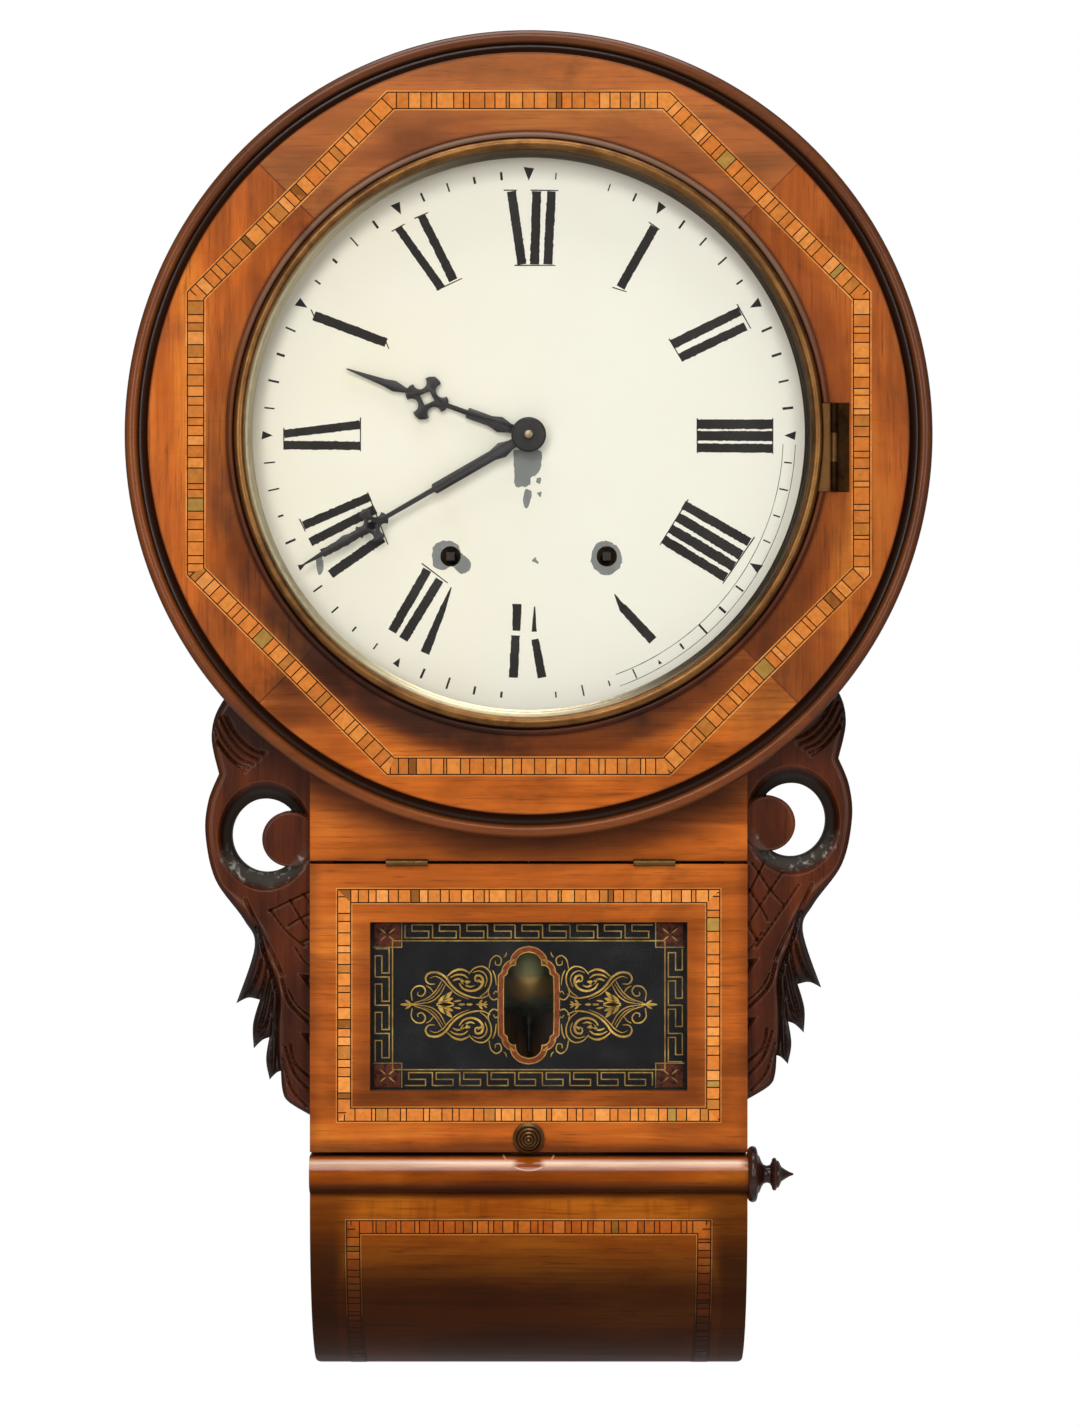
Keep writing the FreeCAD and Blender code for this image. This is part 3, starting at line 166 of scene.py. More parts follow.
class Finish:
    """One node material, built up step by step."""

    def __init__(self, name, **sockets):
        self.material = bpy.data.materials.new(name)
        self.material.use_nodes = True
        self.tree = self.material.node_tree
        self.shader = self.tree.nodes["Principled BSDF"]
        for key, number in sockets.items():
            self.shader.inputs[key.replace("_", " ")].default_value = number

    def node(self, kind, feeds=None, **settings):
        return add_node(self.tree, kind, feeds, **settings)

    def place(self, scale=(1, 1, 1), turn=(0, 0, 0)):
        """Object coordinates, turned and then stretched."""
        vector = self.node("ShaderNodeTexCoord").outputs["Object"]
        for key, amount in (("Rotation", turn), ("Scale", scale)):
            vector = self.node("ShaderNodeMapping", {key: amount, "Vector": vector}).outputs["Vector"]
        return vector

    def noise(self, vector, scale, detail, rough, warp=0.0):
        feeds = {"Vector": vector, "Scale": scale, "Detail": detail, "Roughness": rough, "Distortion": warp}
        return self.node("ShaderNodeTexNoise", feeds).outputs["Fac"]

    def math(self, operation, first, second=0.0, clamp=False):
        feeds = {0: first, 1: second}
        return self.node("ShaderNodeMath", feeds, operation=operation, use_clamp=clamp).outputs[0]

    def chain(self, operation, amounts):
        total = amounts[0]
        for amount in amounts[1:]:
            total = self.math(operation, total, amount)
        return total

    def times(self, *amounts):
        return self.chain("MULTIPLY", amounts)

    def most(self, *amounts):
        """The largest of the amounts."""
        return self.chain("MAXIMUM", amounts)

    def plus(self, first, second, clamp=False):
        return self.math("ADD", first, second, clamp)

    def minus(self, first, second):
        return self.math("SUBTRACT", first, second)

    def over(self, first, second):
        """One where the first is greater, else nothing."""
        return self.math("GREATER_THAN", first, second)

    def magnitude(self, value):
        return self.math("ABSOLUTE", value)

    def away(self, value, middle):
        """How far a value is from a middle, on either side."""
        return self.magnitude(self.minus(value, middle))

    def distance(self, across, up):
        """Length of the line whose sideways and upward parts are given."""
        return self.math("SQRT", self.plus(self.times(across, across), self.times(up, up)))

    def span(self, value, low, high, out_low=0.0, out_high=1.0):
        """A smooth rise from one amount to another, while the value goes from low to high."""
        feeds = {"Value": value, "From Min": low, "From Max": high, "To Min": out_low, "To Max": out_high}
        return self.node("ShaderNodeMapRange", feeds, interpolation_type="SMOOTHSTEP").outputs["Result"]

    def ramp(self, value, stops, steps=False):
        node = self.node("ShaderNodeValToRGB", {"Fac": value})
        if steps:
            node.color_ramp.interpolation = "CONSTANT"
        stretch = node.color_ramp.elements
        while len(stretch) < len(stops):
            stretch.new(0.5)
        for element, (place, colour) in zip(stretch, stops):
            element.position = place
            element.color = (*colour[:3], 1.0)
        return node.outputs["Color"]

    def mix(self, share, first, second, blend="MIX"):
        feeds = {0: share}
        for key, source in ((6, first), (7, second)):
            driven = isinstance(source, bpy.types.NodeSocket)
            feeds[key] = source if driven else (*source[:3], 1.0)
        return self.node("ShaderNodeMix", feeds, data_type="RGBA", blend_type=blend).outputs[2]

    def attribute(self, name):
        return self.node("ShaderNodeAttribute", attribute_name=name).outputs["Fac"]

    def axes(self):
        where = self.node("ShaderNodeTexCoord").outputs["Object"]
        return self.node("ShaderNodeSeparateXYZ", {"Vector": where}).outputs

    def front(self):
        """Sideways place, and height over the dial axis."""
        x, _, z = self.axes()
        return x, self.minus(z, AXIS_Z)

    def radius(self):
        """Distance from the dial axis."""
        return self.distance(*self.front())

    def drive(self, key, source):
        """Feeds one input of the shader."""
        feed(self.tree, self.shader.inputs[key], source)

    def bump(self, height, strength, distance):
        node = self.node("ShaderNodeBump", {"Strength": strength, "Distance": distance, "Height": height})
        self.drive("Normal", node.outputs["Normal"])

    def colour(self, source):
        self.drive("Base Color", source)
        return self.material

    def rough(self, value, low, high):
        self.drive("Roughness", self.span(value, 0.25, 0.75, low, high))

    def polish(self, pores, streaks, low, high):
        """The sheen of polished wood, uneven along its streaks and open at its pores."""
        self.rough(streaks, low, high)
        self.bump(pores, 0.10, 0.00025)


# Noise in a wood: stretch along and across the grain, detail, roughness and warp.
WOOD_LAYERS = {
    "streaks": (4.0, 52.0, 6.0, 0.58, 0.7),
    "lines": (14.0, 420.0, 4.0, 0.6, 0.2),
    "pores": (34.0, 700.0, 3.0, 0.6, 0.0),
    "cloud": (8.0, 15.0, 4.0, 0.55, 0.8),
    "stains": (9.0, 25.0, 5.0, 0.66, 0.9),
}

# Dark, middle and pale tones of the woods beside the case veneer.
WOOD_TONES = {
    "side": ("4A2410", "7A4220", "99572B"),
    "pine": ("6A4526", "8E6238", "A87B4C"),
    "bead": ("3A2012", "5E3519", "7C4A26"),
    "panel": ("6E3408", "A2500F", "BC6A18"),
    "roll": ("6A2E06", "9C4A0C", "B8661A"),
    "finial": ("160A06", "2A140D", "5A2612"),
    "dark_line": ("150A05", "2A140A", "3A1D0E"),
    "pale_line": ("BC7030", "DA8A42", "E89E58"),
}


def wood_tones(wood=None):
    """Three tones of a wood from the table, or else of the case veneer."""
    if wood:
        return [hue(code) for code in WOOD_TONES[wood]]
    c = colours()
    return [tuple(c.walnut_dark), tuple(c.walnut_mid), tuple(c.walnut_light)]


def darker(colour, share):
    return tuple(c * share for c in colour)


def wood_base(finish, grain, tones, figure=0.5):
    """Colour, pores and streaks of a wood; grain is the turn that lays its length along X."""
    dark, mid, light = tones
    layer = {}
    for name, (along, across, detail, rough, warp) in WOOD_LAYERS.items():
        layer[name] = finish.noise(finish.place((along, across, across), grain), 1.0, detail, rough, warp)
    blend = finish.plus(finish.times(layer["streaks"], 1.0 - figure), finish.times(layer["cloud"], figure))
    toned = finish.ramp(blend, [(0.36, dark), (0.50, mid), (0.64, light)])
    toned = finish.mix(finish.span(layer["lines"], 0.46, 0.62, 0.0, 0.36), toned, darker(mid, 0.58))
    toned = finish.mix(finish.span(layer["stains"], 0.48, 0.68, 0.0, 0.48), toned, darker(mid, 0.42))
    toned = finish.mix(finish.span(layer["pores"], 0.46, 0.28, 0.0, 0.5), toned, darker(dark, 0.4))
    return toned, layer["pores"], layer["streaks"]


def shade(finish, base, amount):
    """Darkens a colour towards dark brown where the amount is high: painted shade in some uses, dirt, stains
    and joints in others.
    """
    return finish.mix(amount, base, hue("1D0D06"))


def walnut(name, grain, wood=None, figure=0.5, shade_and_grime=None, gloss=0.24, coat=0.08, shine=0.14):
    """Polished wood in the tones of the table, or else of the case veneer."""
    finish = Finish(name, Coat_Weight=coat, Coat_Roughness=0.14, Specular_IOR_Level=shine)
    toned, pores, streaks = wood_base(finish, grain, wood_tones(wood), figure)
    # Darkens the tone by what the given function returns: painted shade, with dirt in some.
    if shade_and_grime:
        toned = shade(finish, toned, shade_and_grime(finish))
    finish.polish(pores, streaks, gloss, gloss + 0.16)
    return finish.colour(toned)


def brass_finish(name, code, rough, tarnish, amount):
    """Aged brass with spots of tarnish; amount is how much the spots hide."""
    finish = Finish(name, Metallic=1.0)
    wide = finish.noise(finish.place(), 38.0, 5.0, 0.65, 0.4)
    fine = finish.noise(finish.place(), 420.0, 3.0, 0.6)
    finish.rough(fine, rough, rough + 0.2)
    finish.bump(fine, 0.06, 0.0002)
    return finish.colour(finish.mix(finish.span(wide, 0.42, 0.68, 0.0, amount), hue(code), hue(tarnish)))


def steel_finish(name, code, rough):
    """Brushed steel with a cloudy tarnish."""
    finish = Finish(name, Metallic=1.0)
    brushed = finish.noise(finish.place((900, 60, 900)), 1.0, 3.0, 0.6)
    cloud = finish.noise(finish.place(), 55.0, 4.0, 0.6)
    base = finish.mix(finish.span(cloud, 0.4, 0.7, 0.0, 0.5), hue(code), hue("3B332C"))
    finish.rough(brushed, rough, rough + 0.22)
    finish.bump(brushed, 0.05, 0.0001)
    return finish.colour(base)


def paint_finish(name, colour, rough, mottled, metal=0.0):
    """A thin paint or stain with slight wear in its tone."""
    finish = Finish(name, Metallic=metal, Specular_IOR_Level=0.2)
    cloud = finish.noise(finish.place(), 160.0, 4.0, 0.65)
    worn = tuple(min(1.0, c * 1.8 + 0.02) for c in colour)
    finish.rough(cloud, rough, rough + 0.2)
    return finish.colour(finish.mix(finish.span(cloud, 0.45, 0.75, 0.0, mottled), tuple(colour), worn))


def glass_finish(name, share):
    """Thin clear glass; share is how much of its surface shows as dust and gloss."""
    finish = Finish(name, Roughness=0.04, Alpha=share)
    dust = finish.noise(finish.place(), 45.0, 4.0, 0.6)
    return finish.colour(finish.mix(finish.span(dust, 0.4, 0.8), (0.02, 0.02, 0.02), (0.25, 0.25, 0.22)))


def smooth_by_angle(mesh, degrees):
    """Smooth shading that keeps edges sharper than the angle."""
    work = bmesh.new()
    work.from_mesh(mesh)
    limit = math.radians(degrees)
    for face in work.faces:
        face.smooth = True
    for edge in work.edges:
        edge.smooth = len(edge.link_faces) == 2 and edge.calc_face_angle(0.0) < limit
    work.to_mesh(mesh)
    work.free()


def add_piece(name, mesh, material, body, stands_for, degrees):
    """Puts a finished mesh into the scene on its body."""
    if degrees:
        smooth_by_angle(mesh, degrees)
    mesh.materials.clear()
    mesh.materials.append(material)
    piece = bpy.data.objects.new(name, mesh)
    bpy.context.scene.collection.objects.link(piece)
    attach(piece, body)
    if stands_for:
        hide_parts(*stands_for)
    return piece


def plain_mesh(work, name):
    mesh = bpy.data.meshes.new(name)
    work.to_mesh(mesh)
    work.free()
    return mesh


def mesh_of(work, name):
    """A closed mesh with its doubles joined and its faces turned outwards."""
    bmesh.ops.remove_doubles(work, verts=work.verts, dist=1e-7)
    bmesh.ops.recalc_face_normals(work, faces=work.faces)
    return plain_mesh(work, name)


def arc(centre, radius, start, end, steps):
    """Points on an arc, by angles in degrees."""
    turn = [math.radians(start + (end - start) * i / steps) for i in range(steps + 1)]
    return [(centre[0] + radius * math.cos(a), centre[1] + radius * math.sin(a)) for a in turn]


def turned_mesh(name, profile, centre, along=(0, -1, 0), segments=160):
    """A closed turned mesh. Profile points are (distance along the axis, radius) in millimetres."""
    direction = Vector(along)
    side = Vector((1, 0, 0)) if abs(direction.x) < 0.5 else Vector((0, 0, 1))
    up = direction.cross(side)
    turns = [2 * math.pi * i / segments for i in range(segments)]
    spokes = [side * math.cos(a) + up * math.sin(a) for a in turns]
    work = bmesh.new()
    rings = []
    for depth, radius in profile:
        middle = centre + direction * depth * MM
        if radius < 1e-6:
            rings.append([work.verts.new(middle)] * segments)
        else:
            rings.append([work.verts.new(middle + spoke * radius * MM) for spoke in spokes])
    pairs = list(zip(rings, rings[1:]))
    ends_on_axis = profile[0][1] < 1e-6 and profile[-1][1] < 1e-6
    if not ends_on_axis:
        pairs.append((rings[-1], rings[0]))
    for first, second in pairs:
        for i in range(segments):
            j = (i + 1) % segments
            corners = list(dict.fromkeys((first[i], first[j], second[j], second[i])))
            if len(corners) > 2:
                work.faces.new(corners)
    return mesh_of(work, name)


def block_mesh(name, low, high, bevel=0.2):
    """A block with softened edges; corners in metres, bevel in millimetres."""
    work = bmesh.new()
    bmesh.ops.create_cube(work, size=1.0)
    size = high - low
    middle = (high + low) / 2
    for vert in work.verts:
        vert.co = vert.co * size + middle
    bmesh.ops.bevel(work, geom=list(work.edges), offset=bevel * MM, segments=3, profile=0.5, affect="EDGES")
    return mesh_of(work, name)


def take_out(mesh, cutter):
    """Takes the shape of one closed mesh out of another."""
    host = bpy.data.objects.new("cut_host", mesh)
    tool = bpy.data.objects.new("cut_tool", cutter)
    for item in (host, tool):
        bpy.context.scene.collection.objects.link(item)
    cut = host.modifiers.new("Cut", "BOOLEAN")
    cut.operation = "DIFFERENCE"
    cut.object = tool
    made = evaluated_mesh(host)
    for item in (host, tool):
        bpy.data.objects.remove(item)
    return made


def evaluated_mesh(piece):
    """The piece's mesh with its modifiers worked in."""
    graph = bpy.context.evaluated_depsgraph_get()
    return bpy.data.meshes.new_from_object(piece.evaluated_get(graph), depsgraph=graph)


def solid_copy(node, bevel=0.0):
    """A copy of a solid's mesh with its triangles joined; a bevel in millimetres rounds its sharp edges."""
    work = bmesh.new()
    work.from_mesh(frame["nodes"][node].data)
    bmesh.ops.remove_doubles(work, verts=work.verts, dist=2e-6)
    if bevel:
        bmesh.ops.dissolve_limit(work, angle_limit=math.radians(0.6), verts=work.verts, edges=work.edges)
        limit = math.radians(50.0)
        sharp = [e for e in work.edges if len(e.link_faces) == 2 and e.calc_face_angle(0.0) > limit]
        bmesh.ops.bevel(work, geom=sharp, offset=bevel * MM, segments=2, profile=0.5, affect="EDGES",
                        clamp_overlap=True)
    return plain_mesh(work, f"{node}_dressed")


def dress(node, material, degrees=32.0, bevel=0.0):
    """Stands a smooth-shaded copy in for a solid."""
    body = frame["nodes"][node]["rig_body"]
    return add_piece(f"{node}_dressed", solid_copy(node, bevel), material, body, (node,), degrees)


def finish_node(node, material):
    """Gives a solid that keeps its own mesh its finish."""
    piece = frame["nodes"][node]
    if not piece.material_slots:
        piece.data.materials.append(material)
    for place in piece.material_slots:
        place.material = material


def middle_of(node):
    """Centre of a solid's box."""
    low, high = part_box(node)
    return (low + high) / 2


def extrude_outline(name, loops, front, thick):
    """A flat plate in the plane of the dial; loops are lists of (x, z) in metres, holes after the outline."""
    work = bmesh.new()
    edges = []
    for loop in loops:
        verts = [work.verts.new((x, front, z)) for x, z in loop]
        edges += [work.edges.new((verts[i - 1], verts[i])) for i in range(len(verts))]
    bmesh.ops.triangle_fill(work, use_beauty=True, use_dissolve=False, edges=edges)
    bmesh.ops.recalc_face_normals(work, faces=work.faces)
    made = bmesh.ops.extrude_face_region(work, geom=list(work.faces))
    moved = [item for item in made["geom"] if isinstance(item, bmesh.types.BMVert)]
    bmesh.ops.translate(work, verts=moved, vec=(0, thick, 0))
    return mesh_of(work, name)


def join_meshes(name, meshes):
    work = bmesh.new()
    for mesh in meshes:
        work.from_mesh(mesh)
        bpy.data.meshes.remove(mesh)
    return plain_mesh(work, name)


def new_tree(name, inputs):
    """A geometry tree with named inputs: the tree, what it is given and where its result goes."""
    tree = bpy.data.node_groups.new(name, "GeometryNodeTree")
    for label, kind in inputs:
        tree.interface.new_socket(label, in_out="INPUT", socket_type=f"NodeSocket{kind}")
    tree.interface.new_socket("Result", in_out="OUTPUT", socket_type="NodeSocketGeometry")
    return tree, tree.nodes.new("NodeGroupInput").outputs, tree.nodes.new("NodeGroupOutput").inputs[0]


def close_tree(tree, given, laid, result):
    """Ends a tree: its instances made real, with the finish that it is given."""
    solid = add_node(tree, "GeometryNodeRealizeInstances", {"Geometry": laid})
    dressed = add_node(tree, "GeometryNodeSetMaterial", {
        "Geometry": solid.outputs[0], "Material": given["Finish"]})
    tree.links.new(dressed.outputs[0], result)
    return tree


def run_tree(tree, mesh, values):
    """Runs a geometry tree on a mesh and gives back the plain result."""
    host = bpy.data.objects.new("tree_host", mesh)
    bpy.context.scene.collection.objects.link(host)
    modifier = host.modifiers.new("Tree", "NODES")
    modifier.node_group = tree
    for item in tree.interface.items_tree:
        if item.in_out == "INPUT" and item.name in values:
            modifier[item.identifier] = values[item.name]
    made = evaluated_mesh(host)
    bpy.data.objects.remove(host)
    bpy.data.meshes.remove(mesh)
    return made


def random_value(tree, low, high, seed, identity):
    feeds = {2: low, 3: high, 7: identity, 8: seed}
    return add_node(tree, "FunctionNodeRandomValue", feeds, data_type="FLOAT").outputs[1]


def calc(tree, operation, first, second):
    return add_node(tree, "ShaderNodeMath", {0: first, 1: second}, operation=operation).outputs[0]


def block_tree():
    """Lays parquetry blocks of uneven length end to end along a path."""
    tree, given, result = new_tree("Parquetry Blocks", [
        ("Path", "Geometry"), ("Count", "Int"), ("Pitch", "Float"), ("Joint", "Float"), ("Width", "Float"),
        ("Thickness", "Float"), ("Across", "Vector"), ("Seed", "Int"), ("Finish", "Material")])
    curve = add_node(tree, "GeometryNodeMeshToCurve", {"Mesh": given["Path"]})
    points = add_node(tree, "GeometryNodeCurveToPoints", {
        "Curve": curve.outputs[0], "Count": given["Count"]}, mode="COUNT").outputs
    index = add_node(tree, "GeometryNodeInputIndex").outputs[0]
    after = calc(tree, "ADD", index, 1.0)
    reach = calc(tree, "MULTIPLY", given["Pitch"], 0.36)
    back = calc(tree, "MULTIPLY", reach, -1.0)
    first = random_value(tree, back, reach, given["Seed"], index)
    second = random_value(tree, back, reach, given["Seed"], after)
    middle = calc(tree, "MULTIPLY", calc(tree, "ADD", first, second), 0.5)
    shift = add_node(tree, "ShaderNodeVectorMath", {0: points["Tangent"], "Scale": middle}, operation="SCALE")
    moved = add_node(tree, "GeometryNodeSetPosition", {
        "Geometry": points["Points"], "Offset": shift.outputs[0]})
    gap = calc(tree, "SUBTRACT", given["Pitch"], given["Joint"])
    long = calc(tree, "ADD", gap, calc(tree, "SUBTRACT", second, first))
    turn = add_node(tree, "FunctionNodeAxesToRotation", {
        0: points["Tangent"], 1: given["Across"]}, primary_axis="X", secondary_axis="Y")
    size = add_node(tree, "ShaderNodeCombineXYZ", {"X": long, "Y": given["Width"], "Z": given["Thickness"]})
    block = add_node(tree, "GeometryNodeMeshCube", {"Size": (1.0, 1.0, 1.0)})
    laid = add_node(tree, "GeometryNodeInstanceOnPoints", {
        "Points": moved.outputs[0], "Instance": block.outputs["Mesh"], "Rotation": turn.outputs[0],
        "Scale": size.outputs[0]})
    tone = random_value(tree, 0.0, 1.0, calc(tree, "ADD", given["Seed"], 31.0), index)
    named = add_node(tree, "GeometryNodeStoreNamedAttribute", {
        "Geometry": laid.outputs[0], "Name": "tile", "Value": tone}, data_type="FLOAT", domain="INSTANCE")
    return close_tree(tree, given, named.outputs[0], result)


def tick_tree():
    """Sets worn minute strokes round the dial, with gaps left at the hours."""
    tree, given, result = new_tree("Minute Marks", [
        ("Base", "Geometry"), ("Radius", "Float"), ("Length", "Float"), ("Width", "Float"),
        ("Height", "Float"), ("Seed", "Int"), ("Finish", "Material")])
    ring = add_node(tree, "GeometryNodeMeshCircle", {"Vertices": 60, "Radius": given["Radius"]})
    index = add_node(tree, "GeometryNodeInputIndex").outputs[0]
    hour = calc(tree, "COMPARE", calc(tree, "MODULO", index, 5.0), 0.0)
    kept = calc(tree, "GREATER_THAN", random_value(tree, 0.0, 1.0, given["Seed"], index), 0.10)
    chosen = calc(tree, "MULTIPLY", kept, calc(tree, "SUBTRACT", 1.0, hour))
    place = add_node(tree, "GeometryNodeInputPosition")
    turn = add_node(tree, "FunctionNodeAxesToRotation", {
        0: place.outputs[0], 1: (0.0, 0.0, 1.0)}, primary_axis="X", secondary_axis="Z")
    worn = random_value(tree, 0.45, 1.0, calc(tree, "ADD", given["Seed"], 5.0), index)
    thick = random_value(tree, 0.6, 1.25, calc(tree, "ADD", given["Seed"], 9.0), index)
    size = add_node(tree, "ShaderNodeCombineXYZ", {
        "X": calc(tree, "MULTIPLY", given["Length"], worn),
        "Y": calc(tree, "MULTIPLY", given["Width"], thick), "Z": given["Height"]})
    mark = add_node(tree, "GeometryNodeMeshCube", {"Size": (1.0, 1.0, 1.0)})
    laid = add_node(tree, "GeometryNodeInstanceOnPoints", {
        "Points": ring.outputs[0], "Selection": chosen, "Instance": mark.outputs["Mesh"],
        "Rotation": turn.outputs[0], "Scale": size.outputs[0]})
    return close_tree(tree, given, laid.outputs[0], result)


def key_tree():
    """Repeats one unit of a key pattern in a row."""
    tree, given, result = new_tree("Key Border", [
        ("Unit", "Geometry"), ("Count", "Int"), ("Step", "Vector"), ("Finish", "Material")])
    row = add_node(tree, "GeometryNodeMeshLine", {
        "Count": given["Count"], "Offset": given["Step"]}, mode="OFFSET", count_mode="TOTAL")
    laid = add_node(tree, "GeometryNodeInstanceOnPoints", {
        "Points": row.outputs[0], "Instance": given["Unit"]})
    return close_tree(tree, given, laid.outputs[0], result)


def outward_along(path, across):
    """Direction out of the surface at each point of a path that lies on it."""
    last = len(path) - 1
    outs = []
    for i in range(last + 1):
        tangent = (path[min(i + 1, last)] - path[max(i - 1, 0)]).normalized()
        outs.append(tangent.cross(across).normalized())
    return outs


def ribbon_mesh(name, path, across, low, high, top, bottom):
    """A flat strip along a path, between two offsets across it and two heights over it."""
    work = bmesh.new()
    rings = []
    for point, out in zip(path, outward_along(path, across)):
        corners = [(low, top), (high, top), (high, bottom), (low, bottom)]
        rings.append([work.verts.new(point + across * a + out * h) for a, h in corners])
    for first, second in zip(rings, rings[1:]):
        for i in range(4):
            j = (i + 1) % 4
            work.faces.new((first[i], first[j], second[j], second[i]))
    work.faces.new(rings[0])
    work.faces.new(list(reversed(rings[-1])))
    return mesh_of(work, name)


def trim(mesh, cuts):
    """Cuts a mesh off at planes given as a point and an outward direction."""
    work = bmesh.new()
    work.from_mesh(mesh)
    for point, outward in cuts:
        made = bmesh.ops.bisect_plane(work, geom=work.verts[:] + work.edges[:] + work.faces[:], dist=1e-7,
                                      plane_co=point, plane_no=outward, clear_outer=True)
        rim = [item for item in made["geom_cut"] if isinstance(item, bmesh.types.BMEdge)]
        bmesh.ops.holes_fill(work, edges=rim, sides=0)
    work.to_mesh(mesh)
    work.free()
    return mesh


# A tint multiplied into the blocks of each band: slight in the octagon, lighter on the door, darker and
# redder on the lower panel.
BAND_TINT = {"octagon": (0.94, 0.92, 0.98), "door": (1.22, 1.24, 1.40), "base": (0.88, 0.62, 0.42)}


# Tones of the blocks, each with the share of blocks at which it starts.
TILE_TONES = [
    (0.0, "DC8438"), (0.16, "D07830"), (0.32, "E28E3E"), (0.46, "C87430"), (0.56, "DA8236"), (0.68, "CE7C34"),
    (0.78, "E6964A"), (0.88, "B87430"), (0.945, "A8843E"), (0.975, "8A521F"),
]


def tile_finish(label, shade_and_grime):
    """Small blocks of many woods under old polish."""
    finish = Finish(f"{label}_parquetry", Specular_IOR_Level=0.04)
    tones = [(place, hue(code)) for place, code in TILE_TONES]
    toned = finish.ramp(finish.attribute("tile"), tones, steps=True)
    grain = finish.noise(finish.place((300, 300, 300)), 1.0, 4.0, 0.65)
    cloud = finish.noise(finish.place(), 190.0, 3.0, 0.6)
    toned = finish.mix(finish.span(grain, 0.35, 0.7, 0.0, 0.3), toned, hue("7A4218"))
    toned = finish.mix(finish.span(cloud, 0.5, 0.8, 0.0, 0.3), toned, hue("F09A44"))
    toned = finish.mix(1.0, toned, BAND_TINT[label], "MULTIPLY")
    finish.rough(grain, 0.26, 0.42)
    # Darkens the tone by what the given function returns: painted shade, with dirt in some.
    if shade_and_grime:
        toned = shade(finish, toned, shade_and_grime(finish))
    return finish.colour(toned)


BLOCK_THICK = 0.5 * MM


def band_strips(label, strips, wide, lift, tiles, pitch):
    """Meshes of the blocks, the dark ground and the pale stringing for the stretches of one band.

    Each strip is (path at the surface, direction across, trimming planes)."""
    s = sizes()
    tree = block_tree()
    blocks = []
    grounds = []
    lines = []
    half = wide / 2
    for number, (path, across, cuts) in enumerate(strips):
        long = sum((b - a).length for a, b in zip(path, path[1:]))
        count = round(long / pitch) + 1
        raised = [p + out * (lift - BLOCK_THICK / 2) for p, out in zip(path, outward_along(path, across))]
        rail = bpy.data.meshes.new("band_path")
        rail.from_pydata([tuple(p) for p in raised], [(i, i + 1) for i in range(len(raised) - 1)], [])
        laid = run_tree(tree, rail, {
            "Count": count, "Pitch": long / (count - 1), "Joint": s.tile_joint, "Thickness": BLOCK_THICK,
            "Width": wide - 2 * (s.stringing + s.dark_line), "Across": tuple(across),
            "Seed": s.tile_seed + 3 * number, "Finish": tiles})
        blocks.append(trim(laid, cuts))
        ground = ribbon_mesh("ground", path, across, -half, half, lift - 0.03 * MM, -0.4 * MM)
        grounds.append(trim(ground, cuts))
        for low in (-half, half - s.stringing):
            line = ribbon_mesh("line", path, across, low, low + s.stringing, lift, -0.3 * MM)
            lines.append(trim(line, cuts))
    return [join_meshes(f"{label}_{part}", meshes)
            for part, meshes in (("blocks", blocks), ("ground", grounds), ("stringing", lines))]


# How far the lower panel's foot comes down, over what height, and the radius of its worn corners.
FOOT_DROP = 2.1 * MM
FOOT_EASE = 60 * MM
FOOT_WORN = 6.0 * MM


def lower_foot(mesh):
    """Eases the lower panel's foot down a little and rounds its worn corners."""
    half = (BASE_HIGH.x - BASE_LOW.x) / 2
    for vert in mesh.vertices:
        share = min(1.0, max(0.0, (BASE_LOW.z + FOOT_EASE - vert.co.z) / FOOT_EASE))
        vert.co.z -= FOOT_DROP * share
        short = FOOT_WORN - (vert.co.z - BASE_LOW.z + FOOT_DROP)
        if short > 0:
            limit = half - FOOT_WORN + math.sqrt(max(0.0, FOOT_WORN * FOOT_WORN - short * short))
            vert.co.x = max(-limit, min(limit, vert.co.x))


def lay_band(label, strips, wide, lift, body, node, shade_and_grime=None, pitch=1.0):
    """Puts one parquetry band on its body in place of the plain inlay."""
    tiles = tile_finish(label, shade_and_grime)
    meshes = band_strips(label, strips, wide, lift, tiles, pitch * sizes().tile_pitch)
    if label == "base":
        for mesh in meshes:
            lower_foot(mesh)
    blocks, ground, lines = meshes
    flat = {"shade_and_grime": shade_and_grime, "gloss": 0.3, "coat": 0.0, "shine": 0.04}
    dark = walnut(f"{label}_dark_line", LEVEL, "dark_line", 0.5, **flat)
    pale = walnut(f"{label}_pale_line", LEVEL, "pale_line", 0.3, **flat)
    add_piece(f"{label}_blocks", blocks, tiles, body, (node,), 0)
    add_piece(f"{label}_ground", ground, dark, body, (), 0)
    add_piece(f"{label}_stringing", lines, pale, body, (), 0)


class ClockStep:
    """What the clock's operators share."""

    bl_options = {"REGISTER", "UNDO"}


def quarter_grain(finish, tones):
    """Veneer laid in four quarters, with the grain running round the ring and joints on the diagonals."""
    level, pores, streaks = wood_base(finish, LEVEL, tones)
    upright, _, _ = wood_base(finish, UPRIGHT, tones)
    x, height = finish.front()
    lead = finish.minus(finish.magnitude(x), finish.magnitude(height))
    side = finish.over(lead, 0.0)
    joint = finish.span(finish.magnitude(lead), 0.0008, 0.0003, 0.0, 0.6)
    # The right quarter is darkened and the top quarter dulled towards greyish brown, breaking at the joints:
    # partly a difference between the veneers, partly painted shade on the right and a painted pale sheen of
    # light from above on the top.
    right = finish.times(side, finish.over(x, 0.0))
    top = finish.times(finish.minus(1.0, side), finish.over(height, 0.0))
    dull = finish.mix(finish.times(top, 0.36), finish.mix(side, level, upright), hue("86603F"))
    return shade(finish, dull, finish.most(joint, finish.times(right, 0.28))), pores, streaks


